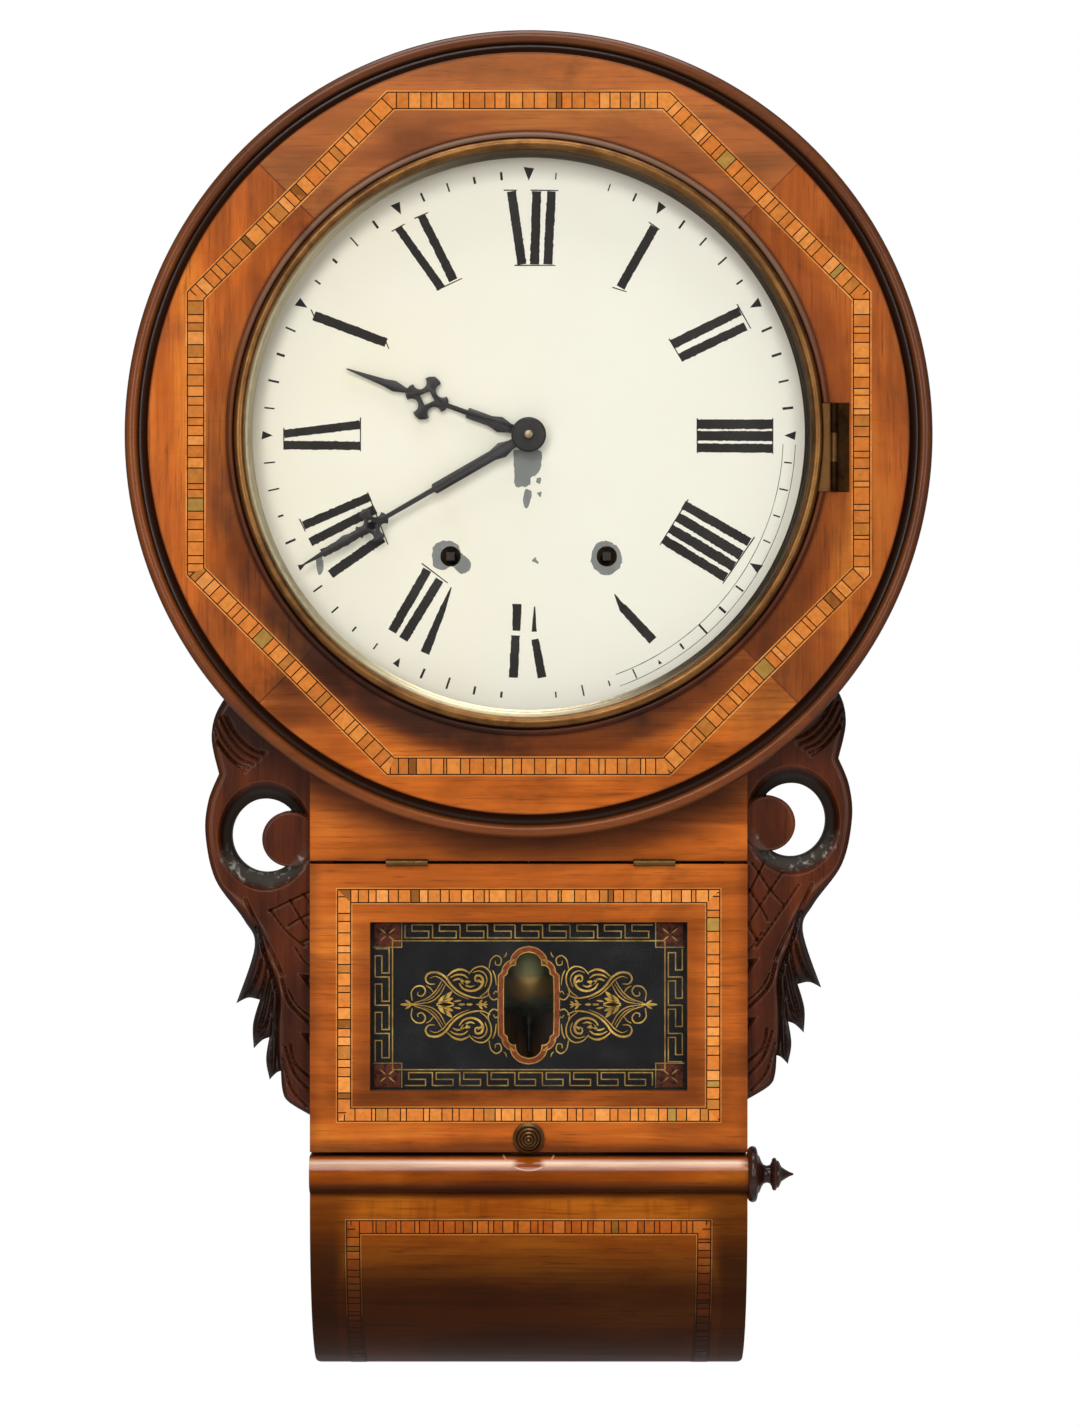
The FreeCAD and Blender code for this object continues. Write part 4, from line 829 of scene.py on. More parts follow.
def smudge_at(finish, x, z, reach, strength):
    """A round dirty patch on the front, fading out at its reach, in millimetres from the dial axis."""
    across, _, up = finish.axes()
    away = finish.distance(finish.minus(across, x * MM), finish.minus(up, AXIS_Z + z * MM))
    return finish.span(away, reach * MM, 0.0, 0.0, strength)


# Dirty patches of the surround: place from the dial axis, reach and strength.
SURROUND_SMUDGES = [
    (-106, 124, 16, 0.8), (-121, 108, 14, 0.6), (-64, 158, 24, 0.4), (120, 128, 30, 0.4),
    (-130, 130, 62, 0.42), (-130, -130, 66, 0.72), (125, -130, 66, 0.6), (0, -165, 60, 0.5),
]


def surround_finish():
    """Quartered veneer with a dark bead and painted shade in the hollow round it and at its outer edge, a
    dark inner lip with a painted highlight along its upper half, and darker patches low on its face.
    """
    finish = Finish("surround_veneer", Coat_Roughness=0.14, Specular_IOR_Level=0.14)
    toned, pores, streaks = quarter_grain(finish, wood_tones())
    radius = finish.radius()
    x, height = finish.front()
    bead = finish.span(radius, 0.2025, 0.2042, 0.0, 0.85)
    # Painted shade at the outer edge, where it turns away, and in the hollow beside the bead.
    rim = finish.span(radius, 0.2138, 0.2160, 0.0, 0.7)
    hollow = finish.span(finish.away(radius, 0.2062), 0.0044, 0.0022, 0.0, 0.93)
    lip = finish.span(radius, 0.1635, 0.1610, 0.0, 0.78)
    rubbed = finish.span(finish.plus(finish.times(x, 0.5), height), 0.10, -0.20)
    toned = finish.mix(bead, toned, finish.mix(rubbed, hue("502810"), hue("6C350F")))
    toned = finish.mix(lip, toned, hue("4A220E"))
    # Painted highlight along the upper half of the inner lip.
    lip_highlight = finish.times(finish.span(radius, 0.1618, 0.1604), finish.span(height, 0.0, 0.12, 0.0, 0.5))
    toned = finish.mix(lip_highlight, toned, hue("9C8872"))
    # Darker inside the octagon, more towards the bottom.
    inner_darker = finish.times(finish.span(radius, 0.178, 0.171), finish.span(height, -0.06, -0.165, 0.24, 0.5))
    toned = finish.mix(inner_darker, toned, hue("5E2208"))
    cloud = finish.noise(finish.place(), 22.0, 4.0, 0.6)
    stains = finish.noise(finish.place((1.0, 1.0, 1.6)), 13.0, 5.0, 0.62, 0.6)
    # Darker near the lip, most towards the lower left, and in the smudges and stains.
    low_side = finish.span(finish.plus(finish.times(x, 0.25), height), 0.06, -0.16, 0.1, 1.0)
    near_lip = finish.times(finish.span(radius, 0.186, 0.1670, 0.0, 0.9), low_side)
    dark_patches = finish.times(near_lip, finish.span(cloud, 0.3, 0.6, 0.6, 1.0))
    patchy = finish.span(cloud, 0.35, 0.6, 0.3, 1.0)
    for smudge in SURROUND_SMUDGES:
        dark_patches = finish.most(dark_patches, finish.times(smudge_at(finish, *smudge), patchy))
    dark_patches = finish.most(dark_patches, finish.span(stains, 0.50, 0.78, 0.0, 0.42))
    finish.drive("Coat Weight", finish.span(radius, 0.2042, 0.2070, 0.08, 0.24))
    finish.polish(pores, streaks, 0.24, 0.38)
    return finish.colour(shade(finish, toned, finish.most(hollow, rim, dark_patches)))


class CLOCK_OT_surround(ClockStep, bpy.types.Operator):
    """Turns the veneered dial surround with its bead, hollow and inner lip"""

    bl_idname = "clock.surround"
    bl_label = "Dial Surround"

    def execute(self, context):
        profile = [(100, 156.5), (107, 156.5), (107, 150), (116, 150), (116, 158), (123.0, 158)]
        profile += [(123.2 + 1.2 * math.sin(a), 159.4 - 1.4 * math.cos(a)) for a in np.linspace(0.1, 2.9, 9)]
        profile += [(123.3, 161.2), (124, 161.7), (124, 203.0), (123.8, 203.35), (123.4, 203.5)]
        profile += [(117.2 + 6.2 * (1 - math.sin(a)), 203.5 + 5.0 * (1 - math.cos(a)))
                    for a in np.linspace(0.12, math.pi / 2, 9)]
        profile += arc((117.2, 212.35), 3.85, -90, 90, 16)
        profile += [(116.2, 215.7), (115.6, 216.2), (104, 216.2)]
        profile += arc((104, 212.2), 4.0, 90, 180, 6)
        mesh = turned_mesh("surround_turned", profile, spot(0, 0, 0), segments=240)
        hinge_bed = block_mesh("hinge_bed", spot(150, -126, -31.4), spot(171.2, -122.4, 16.4))
        mesh = take_out(mesh, hinge_bed)
        add_piece("surround_turned", mesh, surround_finish(), "case", ("dial_surround",), 28.0)
        return {"FINISHED"}


# Widths of the bands, the extra length that is cut off at their mitres, and how far they stand out.
OCTAGON_WIDE = 10.7 * MM
BAND_WIDE = 9.0 * MM
MITRE = 2.0 * MM
BAND_LIFT = 0.04 * MM
CURVED_LIFT = 0.13 * MM

# Radius of the lower panel's curve, and how far its centre stands out from the wall.
PANEL_CURVE = 90 * MM
PANEL_OUT = -10 * MM


def octagon_strips(face):
    """Eight mitred stretches round the dial axis."""
    outer = (INLAY_HIGH.x - INLAY_LOW.x) / 2
    half = outer * math.tan(math.pi / 8) + MITRE
    centre = Vector((0, face, AXIS_Z))
    strips = []
    for side in range(8):
        turn = side * math.pi / 4
        out = Vector((math.cos(turn), 0, math.sin(turn)))
        along = Vector((-math.sin(turn), 0, math.cos(turn)))
        middle = centre + out * (outer - OCTAGON_WIDE / 2)
        cuts = []
        for bend in (-1, 1):
            edge = turn + bend * math.pi / 8
            cuts.append((centre, bend * Vector((-math.sin(edge), 0, math.cos(edge)))))
        strips.append(([middle - along * half, middle + along * half], -out, cuts))
    return strips


def frame_strips(low, high, wide):
    """Four mitred stretches of an upright rectangular band, inside the corners of a box."""
    ends = [(low.x, low.z), (high.x, low.z), (high.x, high.z), (low.x, high.z)]
    corners = [Vector((x, low.y, z)) for x, z in ends]
    middle = (corners[0] + corners[2]) / 2
    strips = []
    for start, end in zip(corners, corners[1:] + corners[:1]):
        along = (end - start).normalized()
        inward = Vector((-along.z, 0, along.x))
        if (middle - start).dot(inward) < 0:
            inward = -inward
        path = [start + inward * wide / 2 - along * MITRE, end + inward * wide / 2 + along * MITRE]
        cuts = [(start, (inward - along).normalized()), (end, (inward + along).normalized())]
        across = inward if along.cross(inward).y < 0 else -inward
        strips.append((path, across, cuts))
    return strips


def base_strips(high, wide):
    """An upturned U on the lower panel's curve: a level stretch, and two that run down to the back."""
    centre = Vector((0, PANEL_OUT, BASE_LOW.z + PANEL_CURVE))

    def on_curve(x, angle):
        return centre + PANEL_CURVE * Vector((0, -math.cos(angle), -math.sin(angle))) + Vector((x, 0, 0))

    top = math.asin((centre.z - high.z) / PANEL_CURVE)
    mid = top + wide / 2 / PANEL_CURVE
    edge = high.x
    down = Vector((0, math.sin(mid), -math.cos(mid)))
    corner = on_curve(0, top)
    cuts = []
    for aside in (Vector((1, 0, 0)), Vector((-1, 0, 0))):
        cuts.append((corner + aside * edge, (down + aside).normalized()))
    strips = [([on_curve(-edge - MITRE, mid), on_curve(edge + MITRE, mid)], -down, cuts)]
    start = top - 0.02
    steps = 48
    for side in (-1, 1):
        x = side * (edge - wide / 2)
        path = [on_curve(x, start + (math.pi / 2 - start) * i / steps) for i in range(steps + 1)]
        aside = Vector((side, 0, 0))
        mitre = (corner + aside * edge, (-down - aside).normalized())
        strips.append((path, Vector((1, 0, 0)), [mitre, (Vector((0, PANEL_OUT, 0)), Vector((0, 1, 0)))]))
    return strips


class CLOCK_OT_parquetry(ClockStep, bpy.types.Operator):
    """Lays the parquetry bands in the surround, the door and the lower panel"""

    bl_idname = "clock.parquetry"
    bl_label = "Parquetry Bands"

    def execute(self, context):
        strips = octagon_strips(INLAY_LOW.y)
        lay_band("octagon", strips, OCTAGON_WIDE, BAND_LIFT, "case", "octagon_inlay")
        strips = frame_strips(*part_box("door_inlay"), BAND_WIDE)
        lay_band("door", strips, BAND_WIDE, BAND_LIFT, "door", "door_inlay")
        _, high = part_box("base_inlay")
        strips = base_strips(high, BAND_WIDE)
        lay_band("base", strips, BAND_WIDE, CURVED_LIFT, "case", "base_inlay", band_shadow, 0.8)
        return {"FINISHED"}


def dial_finish():
    """Cream paint, warmer to the left, with stains and flecks."""
    finish = Finish("dial_cream_paint", Coat_Weight=0.25, Coat_Roughness=0.25)
    wide = finish.noise(finish.place(), 11.0, 5.0, 0.6, 0.8)
    fine = finish.noise(finish.place(), 260.0, 4.0, 0.7)
    x, _, _ = finish.axes()
    warm = finish.times(finish.span(x, 0.06, -0.14, 0.0, 0.55), finish.span(wide, 0.3, 0.7, 0.4, 1.0))
    toned = finish.mix(warm, tuple(colours().cream), hue("F6EBC6"))
    toned = finish.mix(finish.span(wide, 0.60, 0.80, 0.0, 0.35), toned, hue("E6DCC0"))
    finish.rough(fine, 0.36, 0.5)
    finish.bump(fine, 0.05, 0.0002)
    return finish.colour(finish.mix(finish.span(fine, 0.72, 0.80, 0.0, 0.5), toned, hue("C9B98F")))


def flow(points, steps=8):
    """Points on a smooth line through the given ones."""
    line = []
    last = len(points) - 1
    for i in range(last):
        a, b, c, d = (Vector(points[min(max(i + k, 0), last)]) for k in (-1, 0, 1, 2))
        for step in range(steps):
            t = step / steps
            bend = (2 * a - 5 * b + 4 * c - d) * t * t + (3 * b - a - 3 * c + d) * t ** 3
            line.append(0.5 * (2 * b + (c - a) * t + bend))
    return line + [Vector(points[last])]


def stroke(work, path, widths, front, wear=0.0, seed=0.0, closed=False):
    """A flat painted stroke along (x, z) points in millimetres from the dial axis; front is in metres."""
    count = len(path)
    rows = []
    for i, point in enumerate(path):
        before = path[i - 1] if closed or i else path[0]
        after = path[(i + 1) % count] if closed or i + 1 < count else path[-1]
        first = (point - before).normalized() if (point - before).length > 1e-9 else None
        second = (after - point).normalized() if (after - point).length > 1e-9 else None
        lead = ((first or second) + (second or first)).normalized()
        lean = max(0.5, lead.dot(second or first))
        side = Vector((lead.y, -lead.x)) / lean
        half = widths[i] / 2
        edges = []
        for sign in (-1, 1):
            ragged = 1.0 + wear * noise.noise(Vector((seed * 7.3 + sign * 5.1, i * 0.9, sign)))
            edges.append(point + side * sign * half * ragged)
        row = []
        for depth in (front, front + 0.08 * MM):
            row += [work.verts.new((p.x * MM, depth, AXIS_Z + p.y * MM)) for p in edges]
        rows.append(row)
    pairs = list(zip(rows, rows[1:]))
    if closed:
        pairs.append((rows[-1], rows[0]))
    else:
        for row in (rows[0], rows[-1]):
            work.faces.new((row[0], row[2], row[3], row[1]))
    for a, b in pairs:
        for i, j in ((0, 1), (1, 3), (3, 2), (2, 0)):
            work.faces.new((a[i], a[j], b[j], b[i]))


def worn_line(work, start, end, wide_start, wide_end, seed, lift):
    """One straight stroke of a numeral with worn edges."""
    first = Vector(start)
    last = Vector(end)
    steps = max(6, int((last - first).length / 1.1))
    path = [first.lerp(last, i / steps) for i in range(steps + 1)]
    widths = [wide_start + (wide_end - wide_start) * i / steps for i in range(steps + 1)]
    stroke(work, path, widths, DIAL_FACE - lift, 0.2, seed)


# What is left of the numerals, stroke by stroke: start, end, and widths there, in millimetres
# from the dial axis.
NUMERAL_STROKES = [
    ((-9.3, 131.2), (-3.6, 91.9), 4.9, 4.9), ((4.3, 131.2), (3.2, 91.9), 4.9, 4.9),
    ((12.3, 131.2), (10.3, 91.9), 4.7, 4.9),
    ((67.7, 112.0), (49.3, 79.5), 5.0, 4.8),
    ((113.6, 66.8), (77.4, 49.0), 4.8, 5.2), ((116.6, 58.7), (81.5, 41.8), 4.8, 5.0),
    ((131.0, 6.0), (90.8, 6.0), 5.2, 5.2), ((131.0, -0.4), (90.8, -0.2), 5.4, 5.2),
    ((131.0, -7.0), (90.8, -6.6), 4.8, 4.8),
    ((118.6, -57.4), (83.2, -37.2), 5.0, 5.0), ((114.2, -64.4), (79.8, -43.6), 5.6, 5.2),
    ((110.2, -70.4), (76.2, -50.0), 5.6, 5.2), ((106.0, -76.4), (72.6, -56.0), 5.0, 5.0),
    ((66.8, -110.2), (50.2, -92.2), 5.2, 4.6), ((50.4, -92.6), (46.2, -85.4), 3.8, 0.6),
    ((-8.2, -130.2), (-7.0, -107.5), 4.8, 4.6), ((-6.6, -105.0), (-6.2, -90.6), 4.2, 5.0),
    ((7.2, -130.2), (3.4, -109.5), 4.8, 4.0), ((3.0, -105.5), (3.2, -92.0), 2.8, 0.7),
    ((-73.4, -105.4), (-54.4, -72.2), 5.0, 4.8), ((-67.4, -109.6), (-47.8, -77.6), 5.2, 4.8),
    ((-55.8, -117.0), (-46.0, -93.0), 5.0, 3.4), ((-46.2, -93.4), (-41.6, -81.6), 3.4, 0.6),
    ((-121.0, -48.4), (-85.2, -33.0), 4.6, 4.6), ((-117.4, -57.4), (-82.4, -39.6), 4.8, 5.0),
    ((-111.0, -63.6), (-80.6, -46.6), 4.6, 5.0), ((-106.6, -74.6), (-78.4, -55.0), 5.0, 5.2),
    ((-131.4, 0.8), (-90.6, 5.8), 4.4, 4.6), ((-131.4, -5.2), (-90.6, -5.6), 4.6, 4.6),
    ((-115.4, 64.4), (-76.6, 49.8), 5.2, 5.0),
    ((-70.2, 111.8), (-46.8, 79.0), 4.2, 4.6), ((-57.6, 118.0), (-40.4, 83.4), 4.6, 4.8),
]

# Fine serif lines that are left: start and end.
SERIF_LINES = [
    ((-13.4, 131.8), (-6.2, 131.8)), ((1.0, 131.8), (16.0, 131.6)), ((-7.6, 91.4), (14.4, 91.4)),
    ((64.6, 114.6), (70.4, 110.6)), ((45.0, 79.6), (52.6, 77.2)),
    ((112.0, 70.6), (119.4, 57.4)), ((75.4, 52.0), (82.8, 39.6)),
    ((131.2, 9.2), (131.2, -10.0)), ((90.6, 9.2), (90.6, -9.6)),
    ((121.4, -54.6), (104.4, -79.6)), ((85.8, -34.4), (70.6, -58.8)),
    ((-57.4, -68.8), (-43.4, -79.4)),
    ((-123.2, -44.8), (-120.0, -51.6)), ((-86.6, -30.6), (-75.6, -58.6)),
    ((-131.6, 4.0), (-131.6, -7.8)), ((-90.4, 9.6), (-90.4, -8.6)),
    ((-117.0, 67.6), (-113.8, 60.8)), ((-78.0, 53.0), (-75.0, 46.4)),
    ((-73.6, 109.6), (-66.6, 113.6)), ((-61.4, 116.6), (-54.0, 119.8)), ((-49.6, 78.0), (-35.8, 84.4)),
]


HOUR_RADIUS = 140.6


def triangle_mark(work, angle, size, lift):
    """A small pointed hour mark; the angle runs clockwise from twelve."""
    out = Vector((math.sin(angle), 0, math.cos(angle)))
    side = Vector((out.z, 0, -out.x))
    tips = [out * (HOUR_RADIUS + size) - side * size * 0.75,
            out * (HOUR_RADIUS + size * 0.8) + side * size * 0.8,
            out * (HOUR_RADIUS - size)]
    front = [work.verts.new((p.x * MM, DIAL_FACE - lift, AXIS_Z + p.z * MM)) for p in tips]
    back = [work.verts.new((p.x * MM, DIAL_FACE + 0.1 * MM, AXIS_Z + p.z * MM)) for p in tips]
    work.faces.new(front)
    work.faces.new(list(reversed(back)))
    for i in range(3):
        j = (i + 1) % 3
        work.faces.new((front[i], back[i], back[j], front[j]))


def worn_patch(name, outline, seed, lift):
    """An island of lost paint: a few corners, joined by a smooth line that wavers."""
    middle = sum((Vector(p) for p in outline), Vector((0, 0))) / len(outline)
    loop = []
    for point in flow([*outline, outline[0]], 7)[:-1]:
        waver = noise.noise(Vector((point.x * 0.9 + seed, point.y * 0.9, seed * 1.7)))
        point = point + (point - middle).normalized() * waver * 0.7
        loop.append((point.x * MM, AXIS_Z + point.y * MM))
    return extrude_outline(name, [loop], DIAL_FACE - lift, 0.1 * MM)


# Sizes of the hour marks that are left, by hour.
HOUR_MARKS = {0: 3.7, 1: 3.3, 2: 3.3, 3: 3.1, 4: 3.4, 5: 1.3, 7: 2.5, 8: 2.2, 9: 3.0, 10: 3.3, 11: 3.5}

# Corners of the patches of lost paint, in millimetres from the dial axis.
BARE_ISLANDS = [
    [(-8.2, -8), (-7.8, -18), (-7.2, -27.0), (-3.4, -27.6), (0.6, -26.6), (1.4, -22.6), (5.2, -20.4),
     (6.8, -14.6), (5.8, -8)],
    [(-1.6, -28.6), (-3.2, -35.0), (-1.4, -39.4), (0.8, -35.6), (1.6, -30.6)],
    [(4.0, -23.0), (6.6, -22.6), (6.0, -25.6), (4.2, -25.4)], [(4.8, -31.0), (6.8, -30.8), (6.2, -33.2)],
    [(-51.6, -60.6), (-51.4, -69.8), (-46.0, -72.4), (-41.4, -70.4), (-36.4, -74.4), (-31.6, -72.0),
     (-31.6, -67.4), (-36.4, -63.0), (-38.0, -58.8), (-44.0, -56.6), (-49.0, -57.6)],
    [(34.6, -61.0), (33.4, -67.0), (36.0, -72.4), (42.0, -75.2), (48.4, -71.8), (50.0, -65.4),
     (47.2, -59.4), (41.4, -56.8), (37.0, -57.6)],
    [(1.8, -67.0), (3.8, -65.8), (5.4, -69.0), (3.2, -68.4)],
    [(-114.8, -65.4), (-111.2, -64.6), (-110.4, -72.4), (-113.0, -74.6)],
]

# Holes of the hands and the two winding squares, and their radius.
DIAL_HOLES = [(0, 0), (-42, -65), (42, -65)]
HOLE_RADIUS = 5.5


class CLOCK_OT_dial(ClockStep, bpy.types.Operator):
    """Paints the dial, its worn numerals, minute marks and bare patches"""

    bl_idname = "clock.dial"
    bl_label = "Painted Dial"

    def execute(self, context):
        s = sizes()
        finish_node("dial_plate", dial_finish())
        ink = paint_finish("dial_ink", tuple(colours().ink), 0.5, 0.12)
        add_piece("dial_numerals", self.inked_lines(s), ink, "case", (), 0)

        marks = run_tree(tick_tree(), bpy.data.meshes.new("tick_base"), {
            "Radius": (s.track_inner + s.track_outer) / 2, "Length": s.track_outer - s.track_inner,
            "Width": 1.15 * MM, "Height": s.ink_thick * 2, "Seed": 5, "Finish": ink})
        to_front = Matrix.Rotation(math.radians(90), 4, "X")
        marks.transform(Matrix.Translation((0, DIAL_FACE, AXIS_Z)) @ to_front)
        add_piece("dial_minute_marks", marks, ink, "case", (), 0)

        bare = paint_finish("dial_bare_metal", tuple(colours().bare_zinc), 0.4, 0.3, 0.35)
        lift = s.ink_thick * 0.6
        patches = [worn_patch(f"patch_{i}", loop, i + 1.3, lift) for i, loop in enumerate(BARE_ISLANDS)]
        mesh = join_meshes("dial_bare_patches", patches)
        bit = [(-3, 0), (-3, HOLE_RADIUS), (3, HOLE_RADIUS), (3, 0)]
        for x, z in DIAL_HOLES:
            mesh = take_out(mesh, turned_mesh("drill_bit", bit, spot(x, DIAL_FACE / MM, z), segments=40))
        add_piece("dial_bare_patches", mesh, bare, "case", (), 0)
        return {"FINISHED"}

    def inked_lines(self, s):
        """One mesh of the numerals, their serifs, the hour marks and what is left of the minute track."""
        work = bmesh.new()
        for number, (start, end, wide_start, wide_end) in enumerate(NUMERAL_STROKES):
            worn_line(work, start, end, wide_start, wide_end, number, s.ink_thick)
        for number, (start, end) in enumerate(SERIF_LINES):
            worn_line(work, start, end, 0.7, 0.55, number + 40, s.ink_thick * 0.9)
        for hour, size in HOUR_MARKS.items():
            triangle_mark(work, math.radians(30 * hour), size, s.ink_thick)
        turns = [math.radians(92 + 68 * i / 60) for i in range(61)]
        for radius in (s.track_inner / MM, s.track_outer / MM):
            path = [Vector((radius * math.sin(a), radius * math.cos(a))) for a in turns]
            stroke(work, path, [0.32] * len(path), DIAL_FACE - s.ink_thick * 0.8, 0.5, radius)
        return mesh_of(work, "dial_numerals")


class CLOCK_OT_bezel(ClockStep, bpy.types.Operator):
    """Turns the brass bezel with its dark inner cone, and sets its glass and hinge"""

    bl_idname = "clock.bezel"
    bl_label = "Bezel and Glass"

    def execute(self, context):
        low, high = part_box("bezel_ring")
        pane_low, pane_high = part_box("bezel_glass")
        outer = (high.x - low.x) / 2 / MM
        front = -low.y / MM
        back = -high.y / MM
        glass = -pane_low.y / MM
        wall = (pane_high.x - pane_low.x) / 2 / MM + 0.3
        sight = 147.6
        profile = [(back, wall), (glass, wall), (glass, sight), (glass + 0.6, sight),
                   (glass + 1.4, sight + 1.0)]
        profile += [(glass + 1.4 + 2.2 * t, sight + 1.0 + 2.6 * t * t) for t in np.linspace(0.1, 1.0, 8)]
        profile += arc((front - 3.0, outer - 3.0), 3.0, -65, 90, 14)
        profile += [(back, outer)]
        mesh = turned_mesh("bezel_turned", profile, spot(0, 0, 0), segments=240)
        add_piece("bezel_turned", mesh, self.ring_finish(), "bezel", ("bezel_ring",), 30.0)
        # The hinge leaf is made nearly black: painted shade of the recess it sits in.
        dress("bezel_hinge_leaf", brass_finish("leaf_brass", "34210F", 0.45, "120A06", 0.9))
        dull = brass_finish("hinge_brass", "6A4A2A", 0.34, "2A1A0E", 0.7)
        for node in ("bezel_glass_bead", "bezel_hinge_knuckle"):
            dress(node, dull)
        finish_node("bezel_glass", glass_finish("bezel_clear_glass", 0.03))
        return {"FINISHED"}

    def ring_finish(self):
        """Mottled brass, with an inner cone painted pale to the lower left as a highlight and dark to the
        upper right as shade.
        """
        finish = Finish("bezel_brass", Metallic=1.0)
        wide = finish.noise(finish.place(), 42.0, 5.0, 0.65, 0.4)
        fine = finish.noise(finish.place(), 420.0, 3.0, 0.6)
        cone = finish.span(finish.radius(), 0.1525, 0.1500, 0.0, 0.9)
        x, height = finish.front()
        lean = finish.plus(x, finish.times(height, 0.4))
        # Painted light on the cone: a pale highlight to the lower left, dark shade to the upper right.
        pale = finish.mix(finish.span(lean, 0.05, -0.13), hue("48443B"), hue("E0D4B0"))
        toned = finish.mix(finish.span(wide, 0.36, 0.68, 0.30, 0.76), tuple(colours().brass), hue("40291A"))
        finish.rough(fine, 0.28, 0.46)
        finish.bump(fine, 0.06, 0.0002)
        return finish.colour(finish.mix(cone, toned, pale))


class CLOCK_OT_hands(ClockStep, bpy.types.Operator):
    """Blackens the hands and their cap"""

    bl_idname = "clock.hands"
    bl_label = "Hands"

    def execute(self, context):
        finish = Finish("hand_black", Metallic=0.35, Coat_Weight=0.3, Coat_Roughness=0.3)
        cloud = finish.noise(finish.place(), 210.0, 4.0, 0.65)
        finish.rough(cloud, 0.34, 0.56)
        rubbed = finish.span(cloud, 0.48, 0.8, 0.0, 0.5)
        black = finish.colour(finish.mix(rubbed, hue("171412"), hue("4A3A2C")))
        for node in ("hour_hand", "minute_hand"):
            dress(node, black, 30.0, 0.22)
        dress("hand_cap", black)
        low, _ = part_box("hand_cap")
        profile = [(0, 0), (0, 2.3), (0.5, 2.2), (0.9, 1.2), (1.0, 0)]
        tip = turned_mesh("hand_pin", profile, Vector((0, low.y + 0.2 * MM, AXIS_Z)), segments=24)
        pale = brass_finish("pin_brass", "B8A48A", 0.35, "5E4A38", 0.6)
        add_piece("hand_pin", tip, pale, "minute", (), 30.0)
        return {"FINISHED"}


# The ears' outline as (distance out from the case, drop below the dial axis) in millimetres.
EAR_STRETCHES = [
    [(0, 122), (30, 124), (48.4, 143.8), (53.8, 161.6), (49.8, 182.2)],
    [(49.8, 182.2), (55.6, 197), (57.1, 215.2), (51.7, 239.5), (36.5, 261.2), (30.7, 275.8), (40.6, 306.6)],
    [(40.6, 306.6), (34, 303.6), (27.9, 304.8)], [(27.9, 304.8), (31.5, 318), (31.1, 331)],
    [(31.1, 331), (26.5, 326.6), (22.7, 325)], [(22.7, 325), (24.4, 337), (22.5, 348)],
    [(22.5, 348), (19, 344.4), (16.3, 343.2)], [(16.3, 343.2), (15.4, 353.5), (12.2, 359.7), (0, 367.2)],
]

# Where the ears start from the middle of the clock, and their round boss and oval loop: place, then size.
EAR_ROOT = 118.0
EAR_BOSS = (11.3, 217.4, 15.0)
EAR_LOOP = (24.6, 215.7, 19.0, 20.0)

# Chisel cuts as (points, width, depth) in millimetres, on the same axes as the outline.
EAR_CUTS = [
    ([(52.1, 159), (48.7, 167.2), (40.6, 176.1), (33.9, 178.6)], 2.4, 1.5),
    ([(51.7, 154.3), (47.2, 163.5), (39.1, 173.1), (31.4, 176.8)], 2.4, 1.6),
    ([(50.4, 165), (43.5, 174.2), (35.4, 180.6)], 2.2, 1.3),
    ([(45.7, 150.9), (40.6, 160.5), (31.6, 168.7), (25, 170.6)], 2.6, 1.6),
    ([(49.2, 151.2), (43.5, 162), (36.1, 170.1), (28.2, 174.2)], 2.4, 1.6),
    ([(35.2, 250), (27.9, 265.8), (19.8, 280.7), (15.3, 291)], 3.0, 1.6),
    ([(29.4, 265.9), (25, 279.2), (20.5, 292.6), (17.6, 304.4), (19, 322.2), (17.6, 343)], 3.4, 2.8),
    ([(26.5, 282.2), (29.4, 292.6), (36.1, 304.4)], 2.6, 1.8),
    ([(23.5, 286.6), (25.7, 297), (28.6, 304.4)], 2.4, 1.6),
    ([(30.2, 279), (33.8, 292), (38.6, 304.6)], 2.2, 1.4),
    ([(22, 294), (25, 309), (30.2, 328.2)], 2.8, 2.0), ([(20.5, 300), (22.4, 313), (27.6, 325.6)], 2.2, 1.5),
    ([(20.5, 312), (21.2, 328.2), (22.2, 345.6)], 2.6, 1.9),
    ([(19, 322), (18.6, 334), (19.4, 343.6)], 2.0, 1.4),
    ([(15.3, 293.4), (12.4, 304.4), (6.4, 311.9), (-1, 318.5)], 2.6, 2.0),
    ([(12.4, 298.5), (7.2, 307.4), (-1, 314.1)], 2.0, 1.4),
    ([(10.9, 328.2), (8.6, 338.6), (-1, 347.5)], 2.4, 1.8),
    ([(13.8, 329.7), (8.6, 344.5), (-1, 354.9)], 2.2, 1.7),
    ([(15.4, 336), (10.6, 352), (2, 362)], 2.2, 1.5), ([(8.4, 276), (3.4, 283.4), (-1, 287)], 2.0, 1.4),
]

# Crossed cuts below each ear's boss, and three-cornered pockets by the case.
EAR_LATTICE = {
    "ear_left": [
        [(22.7, 256.2), (11, 250.6), (-1, 245.2)], [(12.4, 264.4), (6, 260.4), (-1, 257.2)],
        [(4.9, 273.3), (-1, 270.6)], [(21.8, 255.8), (13, 267.3), (3.6, 275.2)],
        [(11, 250.6), (4.8, 261.2), (-1, 269.4)], [(3.4, 247.6), (-1, 254)]],
    "ear_right": [
        [(10.1, 237), (2.4, 252.1), (-1, 257)], [(19.2, 244), (9.5, 258), (-1, 274)],
        [(28.1, 250.4), (17, 267), (4.9, 284.3)], [(2.4, 238.4), (7, 244.6), (12.8, 253.3), (20, 261.2)],
        [(-1, 250), (7.4, 262.4), (11.5, 270)], [(-1, 270), (6.2, 281.4)]],
}
EAR_POCKETS = [[(7.6, 289.4), (-2, 290.6), (-2, 304.4)], [(6.6, 321.4), (-2, 321.8), (-2, 334.8)]]


